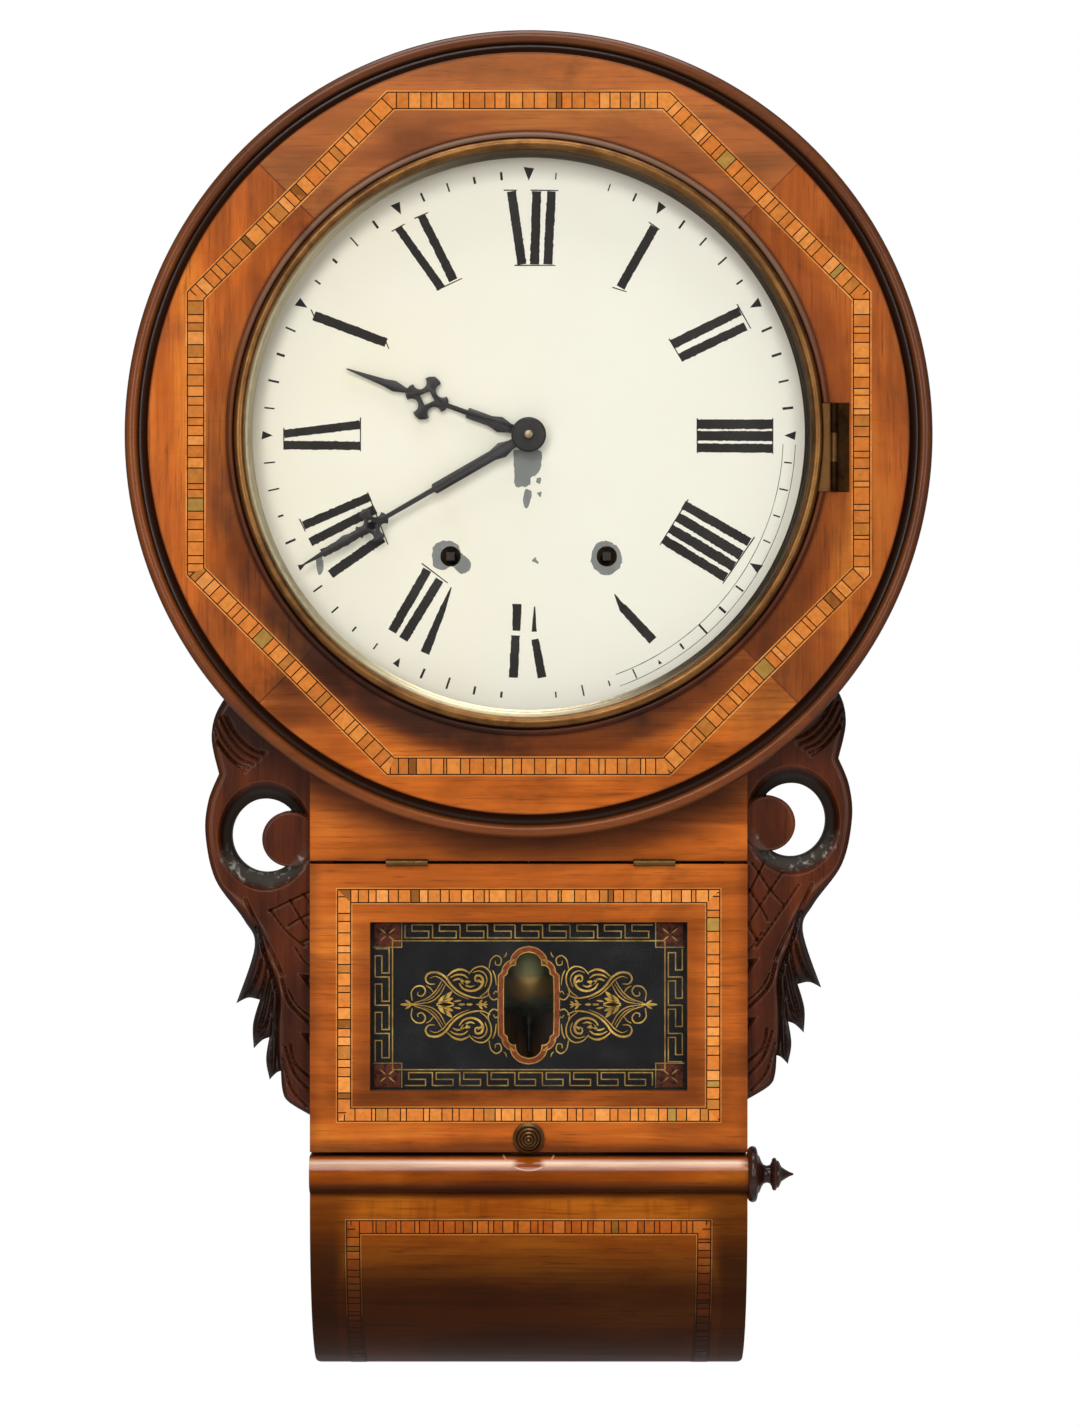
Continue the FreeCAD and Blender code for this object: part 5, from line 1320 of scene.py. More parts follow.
def near_lines(points, lines):
    """Distance from each point to the nearest of some polylines."""
    best = np.full(len(points), 1e9)
    for line in lines:
        for start, end in zip(line, line[1:]):
            start = np.array(start)
            step = np.array(end) - start
            share = np.clip(((points - start) @ step) / max(step @ step, 1e-12), 0.0, 1.0)
            best = np.minimum(best, np.linalg.norm(points - start - share[:, None] * step, axis=1))
    return best


def ear_depths(points, lattice):
    """How deep the carving goes below the face at points given as (out, drop)."""
    rim = near_lines(points, [flow(stretch) for stretch in EAR_STRETCHES])
    out, drop = points[:, 0], points[:, 1]
    depth = 2.6 * (1 - np.clip(rim / 4.2, 0, 1)) ** 2
    waist = np.clip(1 - np.abs(drop - 276) / 34, 0, 1)
    depth += waist * 4.0 * (1 - np.clip(rim / 9.0, 0, 1)) ** 1.6
    leaf = np.clip((drop - 282) / 18, 0, 1) * np.clip((out - 15) / 6, 0, 1)
    depth += 2.2 * leaf
    for line, wide, deep in EAR_CUTS + [(line, 1.7, 1.6) for line in lattice]:
        away = near_lines(points, [flow(line)])
        depth += deep * (1 - np.clip(away / (wide / 2 + 0.3), 0, 1)) ** 1.3
    for corners in EAR_POCKETS:
        inside = np.full(len(points), 1e9)
        for i in range(3):
            a = np.array(corners[i])
            b = np.array(corners[(i + 1) % 3])
            c = np.array(corners[(i + 2) % 3])
            normal = np.array([b[1] - a[1], a[0] - b[0]]) / np.linalg.norm(b - a)
            if (c - a) @ normal < 0:
                normal = -normal
            inside = np.minimum(inside, (points - a) @ normal)
        depth += 4.0 * np.clip(inside / 4.0, 0, 1)
    across = out - EAR_LOOP[0]
    down = drop - EAR_LOOP[1]
    opening = np.hypot(across / EAR_LOOP[2], down / EAR_LOOP[3])
    gouge = np.hypot(across / 26, down / 30)
    boss = np.hypot(out - EAR_BOSS[0], drop - EAR_BOSS[1])
    share = np.clip((1 - gouge) / np.maximum((1 - gouge) + np.maximum(opening - 1, 0), 1e-6), 0, 1)
    scoop = np.where(gouge < 1, 8.5 * share ** 0.8, 0.0) * np.clip((boss - 14.9) / 1.0, 0, 1)
    bowl = np.where(boss < 14.9, 1.4 * np.clip((boss - 13.2) / 1.7, 0, 1) ** 2, 0.0)
    return np.minimum(np.where(boss < 14.9, bowl, depth + scoop), 14.0)


def ear_mesh(name, side, raise_up):
    """A bracket sawn to its outline and carved: a fine front face that every cut sinks, walls and a back."""
    low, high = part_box(name)
    thick = (high.y - low.y) / MM
    fine = sizes().carve_detail / MM
    edge = []
    for stretch in EAR_STRETCHES:
        edge += even_line(flow(stretch), fine)[:-1]
    edge += even_line([Vector(EAR_STRETCHES[-1][-1]), Vector(EAR_STRETCHES[0][0])], fine)[:-1]
    loop = ear_opening(fine)
    rims = np.array(edge + loop)
    across, down = np.meshgrid(np.arange(0, 58, fine), np.arange(122, 368, fine))
    across[1::2] += fine / 2
    inner = np.column_stack([across.ravel(), down.ravel()])
    gap = near_lines(inner, [[*edge, edge[0]], [*loop, loop[0]]])
    inner = inner[(gap > fine * 0.6) & in_loop(inner, edge) & ~in_loop(inner, loop)]
    spots = [Vector(p) for p in np.vstack([rims, inner]).tolist()]
    lines = []
    for first, count in ((0, len(edge)), (len(edge), len(loop))):
        lines += [(first + i, first + (i + 1) % count) for i in range(count)]
    found = geometry.delaunay_2d_cdt(spots, lines, [], 0, 1e-6)
    points = np.array(found[0])
    corners = np.array(found[2])
    middles = points[corners].mean(axis=1)
    corners = corners[in_loop(middles, edge) & ~in_loop(middles, loop)]
    depth = ear_depths(points, EAR_LATTICE[name])

    def laid(point, back_off):
        height = AXIS_Z + (raise_up - point[1]) * MM
        return (side * (EAR_ROOT + point[0]) * MM, high.y - back_off * MM, height)

    work = bmesh.new()
    # The carving depth, which the finish reads to darken the cuts with dirt and painted shade.
    stain = work.verts.layers.float.new("carved")
    front = [work.verts.new(laid(p, thick - d)) for p, d in zip(points, depth)]
    for vert, sunk in zip(front, depth):
        vert[stain] = min(1.0, sunk / 5.0)
    for triangle in corners:
        work.faces.new([front[i] for i in triangle])
    rim = [item for item in work.edges if len(item.link_faces) == 1]
    made = bmesh.ops.extrude_edge_only(work, edges=rim)
    for vert in made["geom"]:
        if isinstance(vert, bmesh.types.BMVert):
            vert.co.y = high.y
    bottom = [item for item in work.edges if len(item.link_faces) == 1]
    bmesh.ops.triangle_fill(work, use_beauty=True, edges=bottom)
    return mesh_of(work, f"{name}_carved")


def in_loop(points, loop):
    """Which points lie inside a closed line."""
    inside = np.zeros(len(points), dtype=bool)
    x, y = points[:, 0], points[:, 1]
    for a, b in zip(loop, [*loop[1:], loop[0]]):
        if a[1] != b[1]:
            crossing = (b[0] - a[0]) * (y - a[1]) / (b[1] - a[1]) + a[0]
            inside ^= ((a[1] > y) != (b[1] > y)) & (x < crossing)
    return inside


def even_line(path, step):
    """Points spread evenly along a line."""
    line = []
    for a, b in zip(path, path[1:]):
        count = max(1, round((b - a).length / step))
        line += [a.lerp(b, i / count) for i in range(count)]
    return line + [path[-1]]


def ear_opening(step):
    """The crescent left between the ear's loop and its round boss."""
    turns = [2 * math.pi * i / 200 for i in range(200)]
    x, drop, wide, tall = EAR_LOOP
    oval = [Vector((x + wide * math.cos(a), drop + tall * math.sin(a))) for a in turns]
    boss = Vector(EAR_BOSS[:2])
    kept = [p for p in oval if (p - boss).length > EAR_BOSS[2]]
    gap = next(i for i, p in enumerate(kept) if (p - kept[i - 1]).length > 6)
    kept = kept[gap:] + kept[:gap]
    start, end = (math.atan2(p.y - boss.y, p.x - boss.x) for p in (kept[-1], kept[0]))
    count = round(abs(end - start) * EAR_BOSS[2] / step)
    return kept + [boss + EAR_BOSS[2] * Vector((math.cos(a), math.sin(a)))
                   for a in np.linspace(start, end, count)[1:-1]]


class CLOCK_OT_ears(ClockStep, bpy.types.Operator):
    """Carves the scrolled ears each side of the case"""

    bl_idname = "clock.ears"
    bl_label = "Carved Ears"

    def execute(self, context):
        low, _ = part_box("ear_left")
        raised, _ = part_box("ear_right")
        lift = (raised.z - low.z) / MM
        for name, side, raise_up in (("ear_left", -1, 0.0), ("ear_right", 1, lift)):
            mesh = ear_mesh(name, side, raise_up)
            wood = self.carved_finish(name, raise_up)
            add_piece(f"{name}_carved", mesh, wood, "case", (name,), 60.0)
        return {"FINISHED"}

    def carved_finish(self, name, raise_up):
        """Dark walnut, nearly black in the cuts with dirt and painted shade, with painted highlights along
        the cut edges, a painted grey sheen in the deepest cuts, and a painted sheen and glints low in the
        scooped loop.
        """
        finish = Finish(f"{name}_walnut", Coat_Weight=0.25, Coat_Roughness=0.18, Specular_IOR_Level=0.08)
        stain = colours().carving
        tones = [darker(stain, 0.4), tuple(stain), tuple(min(1.0, c * 1.8) for c in stain)]
        toned, pores, streaks = wood_base(finish, UPRIGHT, tones)
        carved = finish.attribute("carved")
        gouges = finish.noise(finish.place(), 210.0, 3.0, 0.6)
        x, _, z = finish.axes()
        foot = finish.span(z, AXIS_Z - 0.26, AXIS_Z - 0.35, 0.0, 0.5)
        head = finish.span(z, AXIS_Z - 0.186, AXIS_Z - 0.158, 0.0, 0.6)
        aside = finish.minus(finish.magnitude(x), (EAR_ROOT + EAR_LOOP[0]) * MM)
        rise = finish.minus(z, AXIS_Z + (raise_up - EAR_LOOP[1]) * MM)
        away = finish.distance(aside, rise)
        scoop = finish.times(finish.span(away, 0.0290, 0.0250), finish.span(away, 0.0195, 0.0215))
        low = finish.times(scoop, finish.span(rise, -0.003, -0.018, 0.0, 0.62))
        finish.rough(streaks, 0.30, 0.46)
        finish.bump(finish.plus(pores, finish.times(gouges, carved)), 0.3, 0.0005)
        # Painted highlights: pale lines along the cut edges.
        worn = finish.span(finish.away(carved, 0.07), 0.05, 0.01, 0.0, 0.28)
        toned = finish.mix(worn, toned, hue("8C6A56"))
        # Nearly black with depth: dirt in the cuts and painted shade.
        toned = finish.mix(finish.span(carved, 0.06, 0.60, 0.0, 0.92), toned, hue("160B07"))
        toned = shade(finish, toned, finish.most(foot, head))
        # Painted grey sheen in the deepest cuts, and a painted sheen low in the scooped loop.
        toned = finish.mix(finish.span(carved, 0.62, 1.0, 0.0, 0.6), toned, hue("34302C"))
        toned = finish.mix(finish.times(low, 0.7), toned, hue("5C564F"))
        glints = finish.times(low, finish.span(gouges, 0.52, 0.68))
        return finish.colour(finish.mix(glints, toned, hue("C2BAB0")))


def door_shadow(finish):
    """Painted shade and dirt at the foot of the door, along its sides, and beside and below its window."""
    x, _, z = finish.axes()
    across = finish.magnitude(x)
    side = finish.span(across, 0.110, 0.1185, 0.0, 0.4)
    foot = finish.span(z, DOOR_LOW.z + 0.009, DOOR_LOW.z - 0.001, 0.0, 0.75)
    drop = finish.minus((PANE_LOW.z + PANE_HIGH.z) / 2, z)
    past = finish.most(finish.minus(across, 0.0856), finish.minus(drop, 0.0455))
    beside = finish.times(finish.span(past, 0.012, 0.002, 0.0, 0.32), finish.span(drop, -0.05, -0.04))
    window = finish.times(beside, finish.span(past, -0.004, -0.002))
    cloud = finish.noise(finish.place(), 16.0, 4.0, 0.6)
    return finish.times(finish.most(side, foot, window), finish.span(cloud, 0.25, 0.6, 0.6, 1.0))


def rail_shadow(finish):
    """Painted shadow under the surround's edge, and painted shade along the hinge line."""
    _, _, z = finish.axes()
    under = finish.span(finish.radius(), 0.240, 0.2165, 0.0, 0.72)
    line = finish.span(z, DOOR_HIGH.z + 0.005, DOOR_HIGH.z + 0.0005, 0.0, 0.5)
    return finish.most(under, line)


def base_shadow(finish):
    """Darkens down the curved front, partly painted shade where the curve turns from the light above and
    partly aged polish; darker too in a strip at its head and at its edges; over a faint ribbon figure.
    """
    x, _, z = finish.axes()
    down = finish.span(z, BASE_HIGH.z - 0.002, BASE_HIGH.z - 0.056, 0.0, 0.88)
    head = finish.span(z, BASE_HIGH.z - 0.005, BASE_HIGH.z, 0.0, 0.8)
    side = finish.span(finish.magnitude(x), 0.086, 0.106, 0.0, 0.92)
    side = finish.times(side, finish.span(z, BASE_HIGH.z + 0.004, BASE_HIGH.z - 0.04, 0.45, 1.0))
    bands = finish.noise(finish.place((170, 14, 14)), 1.0, 3.0, 0.5, 0.5)
    ribbon = finish.span(bands, 0.45, 0.75, 0.0, 0.3)
    return finish.most(finish.most(down, ribbon), finish.most(head, side))


def band_shadow(finish):
    """The lower panel's shade, with its band lost in it towards the foot."""
    _, _, z = finish.axes()
    lost = finish.span(z, BASE_HIGH.z - 0.025, BASE_HIGH.z - 0.075, 0.0, 0.95)
    return finish.most(base_shadow(finish), lost)


def roll_shadow(finish):
    """A dark line above the roll and shade under it."""
    _, _, z = finish.axes()
    middle = middle_of("roll_rail").z
    above = finish.span(z, middle + 0.0088, middle + 0.0101, 0.0, 0.85)
    below = finish.span(z, middle - 0.0005, middle - 0.0080, 0.0, 0.88)
    return finish.most(above, below)


# Angle in degrees past which the edges of the flat boards stay sharp.
BOARD_ANGLE = 18.0


class CLOCK_OT_case(ClockStep, bpy.types.Operator):
    """Finishes the case boards, the rail under the dial and the back"""

    bl_idname = "clock.case"
    bl_label = "Case Boards"

    def execute(self, context):
        side = walnut("side_walnut", UPRIGHT, "side")
        for node in ("case_side_left", "case_side_right"):
            dress(node, side, BOARD_ANGLE, 0.7)
        dress("front_rail", walnut("rail_walnut", LEVEL, shade_and_grime=rail_shadow), BOARD_ANGLE, 0.5)
        for node, grain in (("back_board", UPRIGHT), ("case_top", LEVEL)):
            plain = walnut(f"{node}_pine", grain, "pine", 0.3, gloss=0.45)
            dress(node, plain, BOARD_ANGLE, 0.6)
        return {"FINISHED"}


class CLOCK_OT_door(ClockStep, bpy.types.Operator):
    """Finishes the drop door's frame and the beads that hold its glass"""

    bl_idname = "clock.door"
    bl_label = "Door Frame"

    def execute(self, context):
        dress("door_frame", walnut("door_walnut", LEVEL, shade_and_grime=door_shadow), BOARD_ANGLE, 0.6)
        plain = walnut("bead_walnut", LEVEL, "bead", 0.4, gloss=0.4)
        dress("door_glass_beads", plain, BOARD_ANGLE, 0.4)
        return {"FINISHED"}


# The finial's outline as (distance out from the roll, radius) in millimetres: disc, neck, ball and tip.
FINIAL = [
    (0, 0), (0, 13.2), (0.9, 14.4), (1.9, 15.0), (3.2, 15.1), (4.4, 14.5), (5.0, 13.2), (5.4, 11.2),
    (5.6, 10.4), (6.4, 9.6), (7.4, 7.0), (8.6, 5.2), (10.2, 4.6), (12.0, 5.0), (12.9, 6.6), (13.3, 8.2),
    (14.2, 8.9), (15.2, 8.6), (15.7, 7.4), (16.6, 7.2), (17.2, 6.2), (18.2, 4.0), (20.2, 2.6),
    (22.4, 1.3), (24.6, 0.5), (24.8, 0),
]


class CLOCK_OT_base(ClockStep, bpy.types.Operator):
    """Finishes the half-round roll, its turned end and the curved lower panel"""

    bl_idname = "clock.base"
    bl_label = "Roll and Lower Panel"

    def execute(self, context):
        dress("roll_rail", self.roll_finish(), BOARD_ANGLE, 0.15)
        panel = walnut("panel_walnut", LEVEL, "panel", 0.55, base_shadow, gloss=0.3, coat=0.0, shine=0.04)
        front = solid_copy("base_front", 0.5)
        lower_foot(front)
        add_piece("base_front_dressed", front, panel, "case", ("base_front",), BOARD_ANGLE)
        dark = walnut("finial_walnut", LEVEL, "finial", 0.4, gloss=0.22, coat=0.4)
        low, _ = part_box("roll_finial")
        middle = middle_of("roll_finial")
        mesh = turned_mesh("roll_finial_turned", FINIAL, Vector((low.x, middle.y, middle.z)), (1, 0, 0), 72)
        add_piece("roll_finial_turned", mesh, dark, "case", ("roll_finial",), 34.0)
        return {"FINISHED"}

    def roll_finish(self):
        """Polished walnut with a painted highlight along its top, kept off where the knob would block the
        light, and a faint scratch swung by the knob.
        """
        finish = Finish("roll_walnut", Coat_Roughness=0.14, Specular_IOR_Level=0.05)
        toned, pores, streaks = wood_base(finish, LEVEL, wood_tones("roll"))
        toned = shade(finish, toned, roll_shadow(finish))
        x, _, z = finish.axes()
        middle = middle_of("roll_rail").z
        knob = middle_of("door_knob")
        aside = finish.minus(x, knob.x)
        finish.drive("Coat Weight", finish.span(z, middle - 0.001, middle + 0.005, 0.03, 0.7))
        # Painted highlight: a pale streak along the top, left out beside the knob, where the knob would block
        # the light from above.
        line = finish.span(finish.away(z, middle + 0.0064), 0.0026, 0.0008, 0.0, 0.88)
        clear_of_knob = finish.span(finish.magnitude(aside), 0.005, 0.010)
        uneven = finish.span(streaks, 0.30, 0.55, 0.55, 1.0)
        top_highlight = finish.times(line, clear_of_knob, uneven, finish.span(x, 0.119, 0.112))
        swing = finish.distance(aside, finish.minus(z, knob.z))
        scratch = finish.span(finish.away(swing, 0.0165), 0.0006, 0.0002, 0.0, 0.4)
        finish.polish(pores, streaks, 0.16, 0.30)
        return finish.colour(finish.mix(finish.most(top_highlight, scratch), toned, hue("F2CDB0")))


TABLET = Vector(((PANE_LOW.x + PANE_HIGH.x) / 2 / MM, ((PANE_LOW.z + PANE_HIGH.z) / 2 - AXIS_Z) / MM))

# The clear window in the tablet, right half from top to middle, in millimetres from the tablet's centre.
WINDOW = [(0, 28.6), (3.7, 27.6), (6.3, 24.9), (6.9, 21.4), (9.4, 21.0), (11.0, 19.2), (11.4, 16.8),
          (13.2, 15.6)]

# Scrolls of one quarter of the tablet, out from the centre and up: points, then start, middle and end width.
SCROLLS = [
    ([(63.1, 2.1), (63.6, 6.5), (61.2, 9.6), (57.5, 9.8), (56, 7.1), (57.8, 4.6), (60.1, 5.2), (59.9, 6.8)],
     0.6, 1.0, 0.4),
    ([(55.6, 10.2), (53.2, 8.7), (51.6, 6.4)], 0.3, 0.7, 0.2),
    ([(61.9, 0.9), (55.6, 3.1), (50.7, 7.1), (47.2, 12.7)], 0.5, 0.8, 0.4),
    ([(60.4, 0.3), (53.2, 1.5), (48.2, 5.2), (45.1, 10.8)], 0.5, 0.8, 0.4),
    ([(57.2, 1.6), (52.4, 3.6), (48.8, 7.4), (46.4, 11.4)], 0.2, 0.5, 0.2),
    ([(50.9, 11.1), (54.2, 11.3), (55.9, 13.9), (54.2, 16.8), (49.7, 17.3), (45.2, 14.8), (41.7, 10.2),
      (37.3, 6.5), (31.4, 4.1), (25.2, 3.6), (20.9, 5.6)], 0.5, 1.5, 0.5),
    ([(53.6, 14.2), (50.4, 15.2), (46.6, 13.2), (43.2, 9.4), (38.6, 5.4), (32.4, 2.8)], 0.2, 0.8, 0.2),
    ([(44.2, 15.2), (40.7, 18), (36.4, 19), (32.3, 17.3)], 0.6, 1.5, 0.6),
    ([(42.6, 14.4), (39.5, 16), (35.6, 16), (32.9, 14.2)], 0.4, 1.3, 0.5),
    ([(41.2, 12.8), (38.6, 13.8), (35.8, 13.4)], 0.3, 1.4, 0.4),
    ([(37.6, 11.4), (35.5, 8.6), (31.4, 7.3), (27.1, 8.6), (24.8, 12), (25.8, 15.2), (28.6, 15.5), (28.9, 13),
      (27.1, 12.3)], 0.9, 1.6, 0.6),
    ([(36.2, 12.6), (34.2, 10.6), (31.6, 9.6), (29.2, 10.4)], 0.5, 1.2, 0.3),
    ([(32.5, 16.4), (29.3, 19.7), (24.6, 20.5), (20.9, 17.3), (20.4, 12), (22.7, 7.1), (26.5, 4.1)],
     0.5, 1.0, 0.4),
    ([(30.4, 17.2), (27.2, 18.2), (24, 16.8), (22.6, 13.4), (23.8, 9.6)], 0.3, 0.8, 0.3),
    ([(21.5, 19.6), (20.5, 24.2), (17.6, 26.5), (14.9, 24.7), (15.6, 21.5), (17.9, 21.7), (18.1, 23.7)],
     0.5, 0.9, 0.4),
    ([(21.1, 9.6), (21.9, 5.8), (19.6, 2.7), (16.9, 3.4), (16.6, 6.1), (18.1, 7.1), (19.1, 5.5)],
     0.5, 0.9, 0.4),
    ([(19.6, 18.6), (18.2, 15.2), (17.6, 10.4)], 0.4, 0.9, 0.4),
    ([(13.6, 25.6), (12.4, 26.8), (12.0, 28.6)], 0.2, 0.7, 0.1),
]

# Pointed leaves of one quarter as (start, end, width).
LEAVES = [
    ((64.5, 0.0), (69.6, 0.0), 1.5), ((63.6, 0.2), (66.8, 2.4), 1.2), ((60, 0), (64.6, 0), 1.2),
    ((50, 0.4), (40.4, 0.4), 2.6), ((47.5, 1.2), (41, 3.4), 2.0), ((46.5, 2.0), (41.6, 7.0), 2.2),
    ((49, 1.4), (44.5, 5.2), 2.0), ((40.6, 1.6), (36.6, 2.2), 1.0), ((38, 0.2), (34.6, 0.2), 0.8),
    ((33.8, 0), (30.4, 0), 1.3), ((28.6, 0), (22.2, 0), 1.4), ((27.2, 0.2), (25, 2.6), 1.1),
    ((24.6, 0.2), (22.6, 1.8), 0.8), ((31.6, 12.4), (35.8, 11.8), 1.8), ((33.8, 10.4), (37.2, 13.8), 1.8),
    ((27.8, 13.6), (24.6, 11.2), 1.2),
]


# Order in which ornament is mirrored into the tablet's quarters.
QUARTERS = ((-1, -1), (-1, 1), (1, -1), (1, 1))


def window_loop(grow):
    """The window's outline, moved outwards by a distance in millimetres."""
    quarter = flow(WINDOW[:4], 5)[:-1] + flow(WINDOW[3:7], 5)
    quarter += [Vector(WINDOW[7]), Vector((13.4, 7.0)), Vector((13.4, 0.0))]
    half = quarter + [Vector((p.x, -p.y)) for p in reversed(quarter[:-1])]
    loop = half + [Vector((-p.x, p.y)) for p in reversed(half[1:-1])]
    moved = []
    count = len(loop)
    for i, point in enumerate(loop):
        lead = (loop[(i + 1) % count] - loop[i - 1]).normalized()
        moved.append(point + Vector((-lead.y, lead.x)) * grow)
    return moved


def tablet_loop(points):
    return [((TABLET.x + p[0]) * MM, AXIS_Z + (TABLET.y + p[1]) * MM) for p in points]


def oblong(half_wide, half_tall, middle=(0, 0)):
    """Corners of a level rectangle."""
    corners = ((-1, -1), (1, -1), (1, 1), (-1, 1))
    return [(middle[0] + x * half_wide, middle[1] + z * half_tall) for x, z in corners]


# One unit of the key border, as shares of its step along and its height.
KEY_UNIT = [(0, 1), (0, 0), (0.86, 0), (0.86, 0.52), (0.25, 0.52), (0.25, 1), (1, 1)]

# Rows of the border: start from the tablet's centre, step, direction along and outwards, height and count.
KEY_ROWS = [
    ((-67.0, 36.5), 14.9, (1, 0), (0, 1), 7.0, 9), ((67.0, -36.5), 14.9, (-1, 0), (0, -1), 7.0, 9),
    ((75.6, -30.6), 15.3, (0, 1), (1, 0), 7.6, 4), ((-75.6, 30.6), 15.3, (0, -1), (-1, 0), 7.6, 4),
]

# Half sizes of the gilt line inside the key border, and the place of the flower in each corner.
INNER_LINE = (73.8, 34.9)
CORNER = (76.6, 38.2)


def key_row(gilt, front, start, step, along, outward, tall, count):
    """A row of key pattern from one unit, laid by a geometry tree."""
    begin = TABLET + Vector(start)
    path = [begin + Vector(along) * step * a + Vector(outward) * tall * h for a, h in KEY_UNIT]
    work = bmesh.new()
    stroke(work, path, [0.62] * len(path), front)
    return run_tree(key_tree(), mesh_of(work, "key_unit"), {
        "Count": count, "Step": (along[0] * step * MM, 0.0, along[1] * step * MM), "Finish": gilt})


def scroll_work(work, front):
    """Gilt scrolls and leaves, drawn once and mirrored into the four quarters."""
    for flip_x, flip_z in QUARTERS:
        def turned(point):
            return TABLET + Vector((flip_x * point[0], 0.4 + flip_z * point[1]))

        for points, begin, middle, end in SCROLLS:
            path = flow([turned(p) for p in points], 7)
            shares = [i / (len(path) - 1) for i in range(len(path))]
            widths = []
            for share in shares:
                near = begin if share < 0.5 else end
                widths.append(0.76 * (near + (middle - near) * math.sin(math.pi * share)))
            stroke(work, path, widths, front, 0.25, points[0][0])
        for start, end, wide in LEAVES:
            path = [turned(start).lerp(turned(end), i / 8) for i in range(9)]
            widths = [max(0.12, wide * math.sin(math.pi * (0.04 + 0.92 * i / 8)) ** 0.8) for i in range(9)]
            stroke(work, path, widths, front)


def frame_work(work, front):
    """The gilt lines inside the border, round the corners and round the window, and the corner flowers."""
    x, z = INNER_LINE
    for start, end in (((-x, z), (x, z)), ((-x, -z), (x, -z)), ((-x, -z), (-x, z)), ((x, -z), (x, z))):
        stroke(work, [TABLET + Vector(start), TABLET + Vector(end)], [0.6, 0.6], front)
    for flip_x, flip_z in QUARTERS:
        def turned(point):
            return TABLET + Vector((flip_x * point[0], flip_z * point[1]))

        stroke(work, [turned(p) for p in ((68.8, 44.8), (68.8, 31.4), (84.2, 31.4))], [0.5] * 3, front)
        for tip in ((80.6, 41.6), (72.6, 41.6), (80.6, 34.8), (72.6, 34.8)):
            path = [turned(CORNER).lerp(turned(tip), 0.2 + 0.8 * i / 6) for i in range(7)]
            stroke(work, path, [0.15 + 0.65 * math.sin(math.pi * i / 6) for i in range(7)], front)
    for grow in (0.3, 3.25):
        loop = [TABLET + p for p in window_loop(grow)]
        stroke(work, loop, [0.5] * len(loop), front, closed=True)


class CLOCK_OT_tablet(ClockStep, bpy.types.Operator):
    """Paints the back of the door's glass: black ground, gilt key border and scrolls, clear window"""

    bl_idname = "clock.tablet"
    bl_label = "Painted Tablet"

    def execute(self, context):
        behind = PANE_HIGH.y
        finish_node("door_glass", glass_finish("tablet_glass", 0.03))
        black = paint_finish("tablet_black", hue("101114"), 0.6, 0.1)
        loops = [tablet_loop(oblong(86.4, 46.2)), tablet_loop(window_loop(1.2))]
        ground = extrude_outline("tablet_ground", loops, behind + 0.30 * MM, 0.2 * MM)
        add_piece("tablet_ground", ground, black, "door", (), 0)

        outlines = [[oblong(7.0, 6.2, (x * CORNER[0], z * CORNER[1]))] for x, z in QUARTERS]
        outlines.append([window_loop(3.2), window_loop(0.2)])
        patches = []
        for outline in outlines:
            loops = [tablet_loop(points) for points in outline]
            patches.append(extrude_outline("red_patch", loops, behind + 0.16 * MM, 0.08 * MM))
        red = join_meshes("tablet_maroon", patches)
        add_piece("tablet_maroon", red, self.red_finish(), "door", (), 0)

        gilt = self.gilt_finish()
        front = behind + 0.04 * MM
        work = bmesh.new()
        scroll_work(work, front)
        frame_work(work, front)
        pieces = [mesh_of(work, "tablet_lines")] + [key_row(gilt, front, *row) for row in KEY_ROWS]
        add_piece("tablet_gilt", join_meshes("tablet_gilt", pieces), gilt, "door", (), 0)
        return {"FINISHED"}

    def red_finish(self):
        """Red paint, bright round the window and dim in the corners."""
        finish = Finish("tablet_maroon", Specular_IOR_Level=0.15)
        cloud = finish.noise(finish.place(), 260.0, 4.0, 0.65)
        finish.rough(cloud, 0.4, 0.6)
        x, _, _ = finish.axes()
        dim = finish.span(finish.magnitude(x), 0.05, 0.06, 0.15, 0.72)
        worn = finish.plus(dim, finish.span(cloud, 0.44, 0.62, -0.15, 0.25), True)
        return finish.colour(finish.mix(worn, tuple(colours().maroon), hue("22110E")))

    def gilt_finish(self):
        """Gilding that is bright in places and worn, most of all at the tablet's edges."""
        finish = Finish("tablet_gilt", Metallic=0.55)
        cloud = finish.noise(finish.place(), 130.0, 5.0, 0.65)
        fine = finish.noise(finish.place(), 900.0, 3.0, 0.6)
        x, _, z = finish.axes()
        rise = finish.away(z, AXIS_Z + TABLET.y * MM)
        edge = finish.most(finish.span(finish.magnitude(x), 0.060, 0.074, 0.0, 0.35),
                           finish.span(rise, 0.030, 0.036, 0.0, 0.35))
        worn = finish.plus(finish.span(cloud, 0.46, 0.72, 0.0, 0.5), edge, True)
        finish.rough(fine, 0.3, 0.5)
        bright = finish.mix(finish.span(cloud, 0.50, 0.34, 0.0, 0.8), tuple(colours().gilt), hue("F2CC70"))
        return finish.colour(finish.mix(worn, bright, hue("4F3F22")))


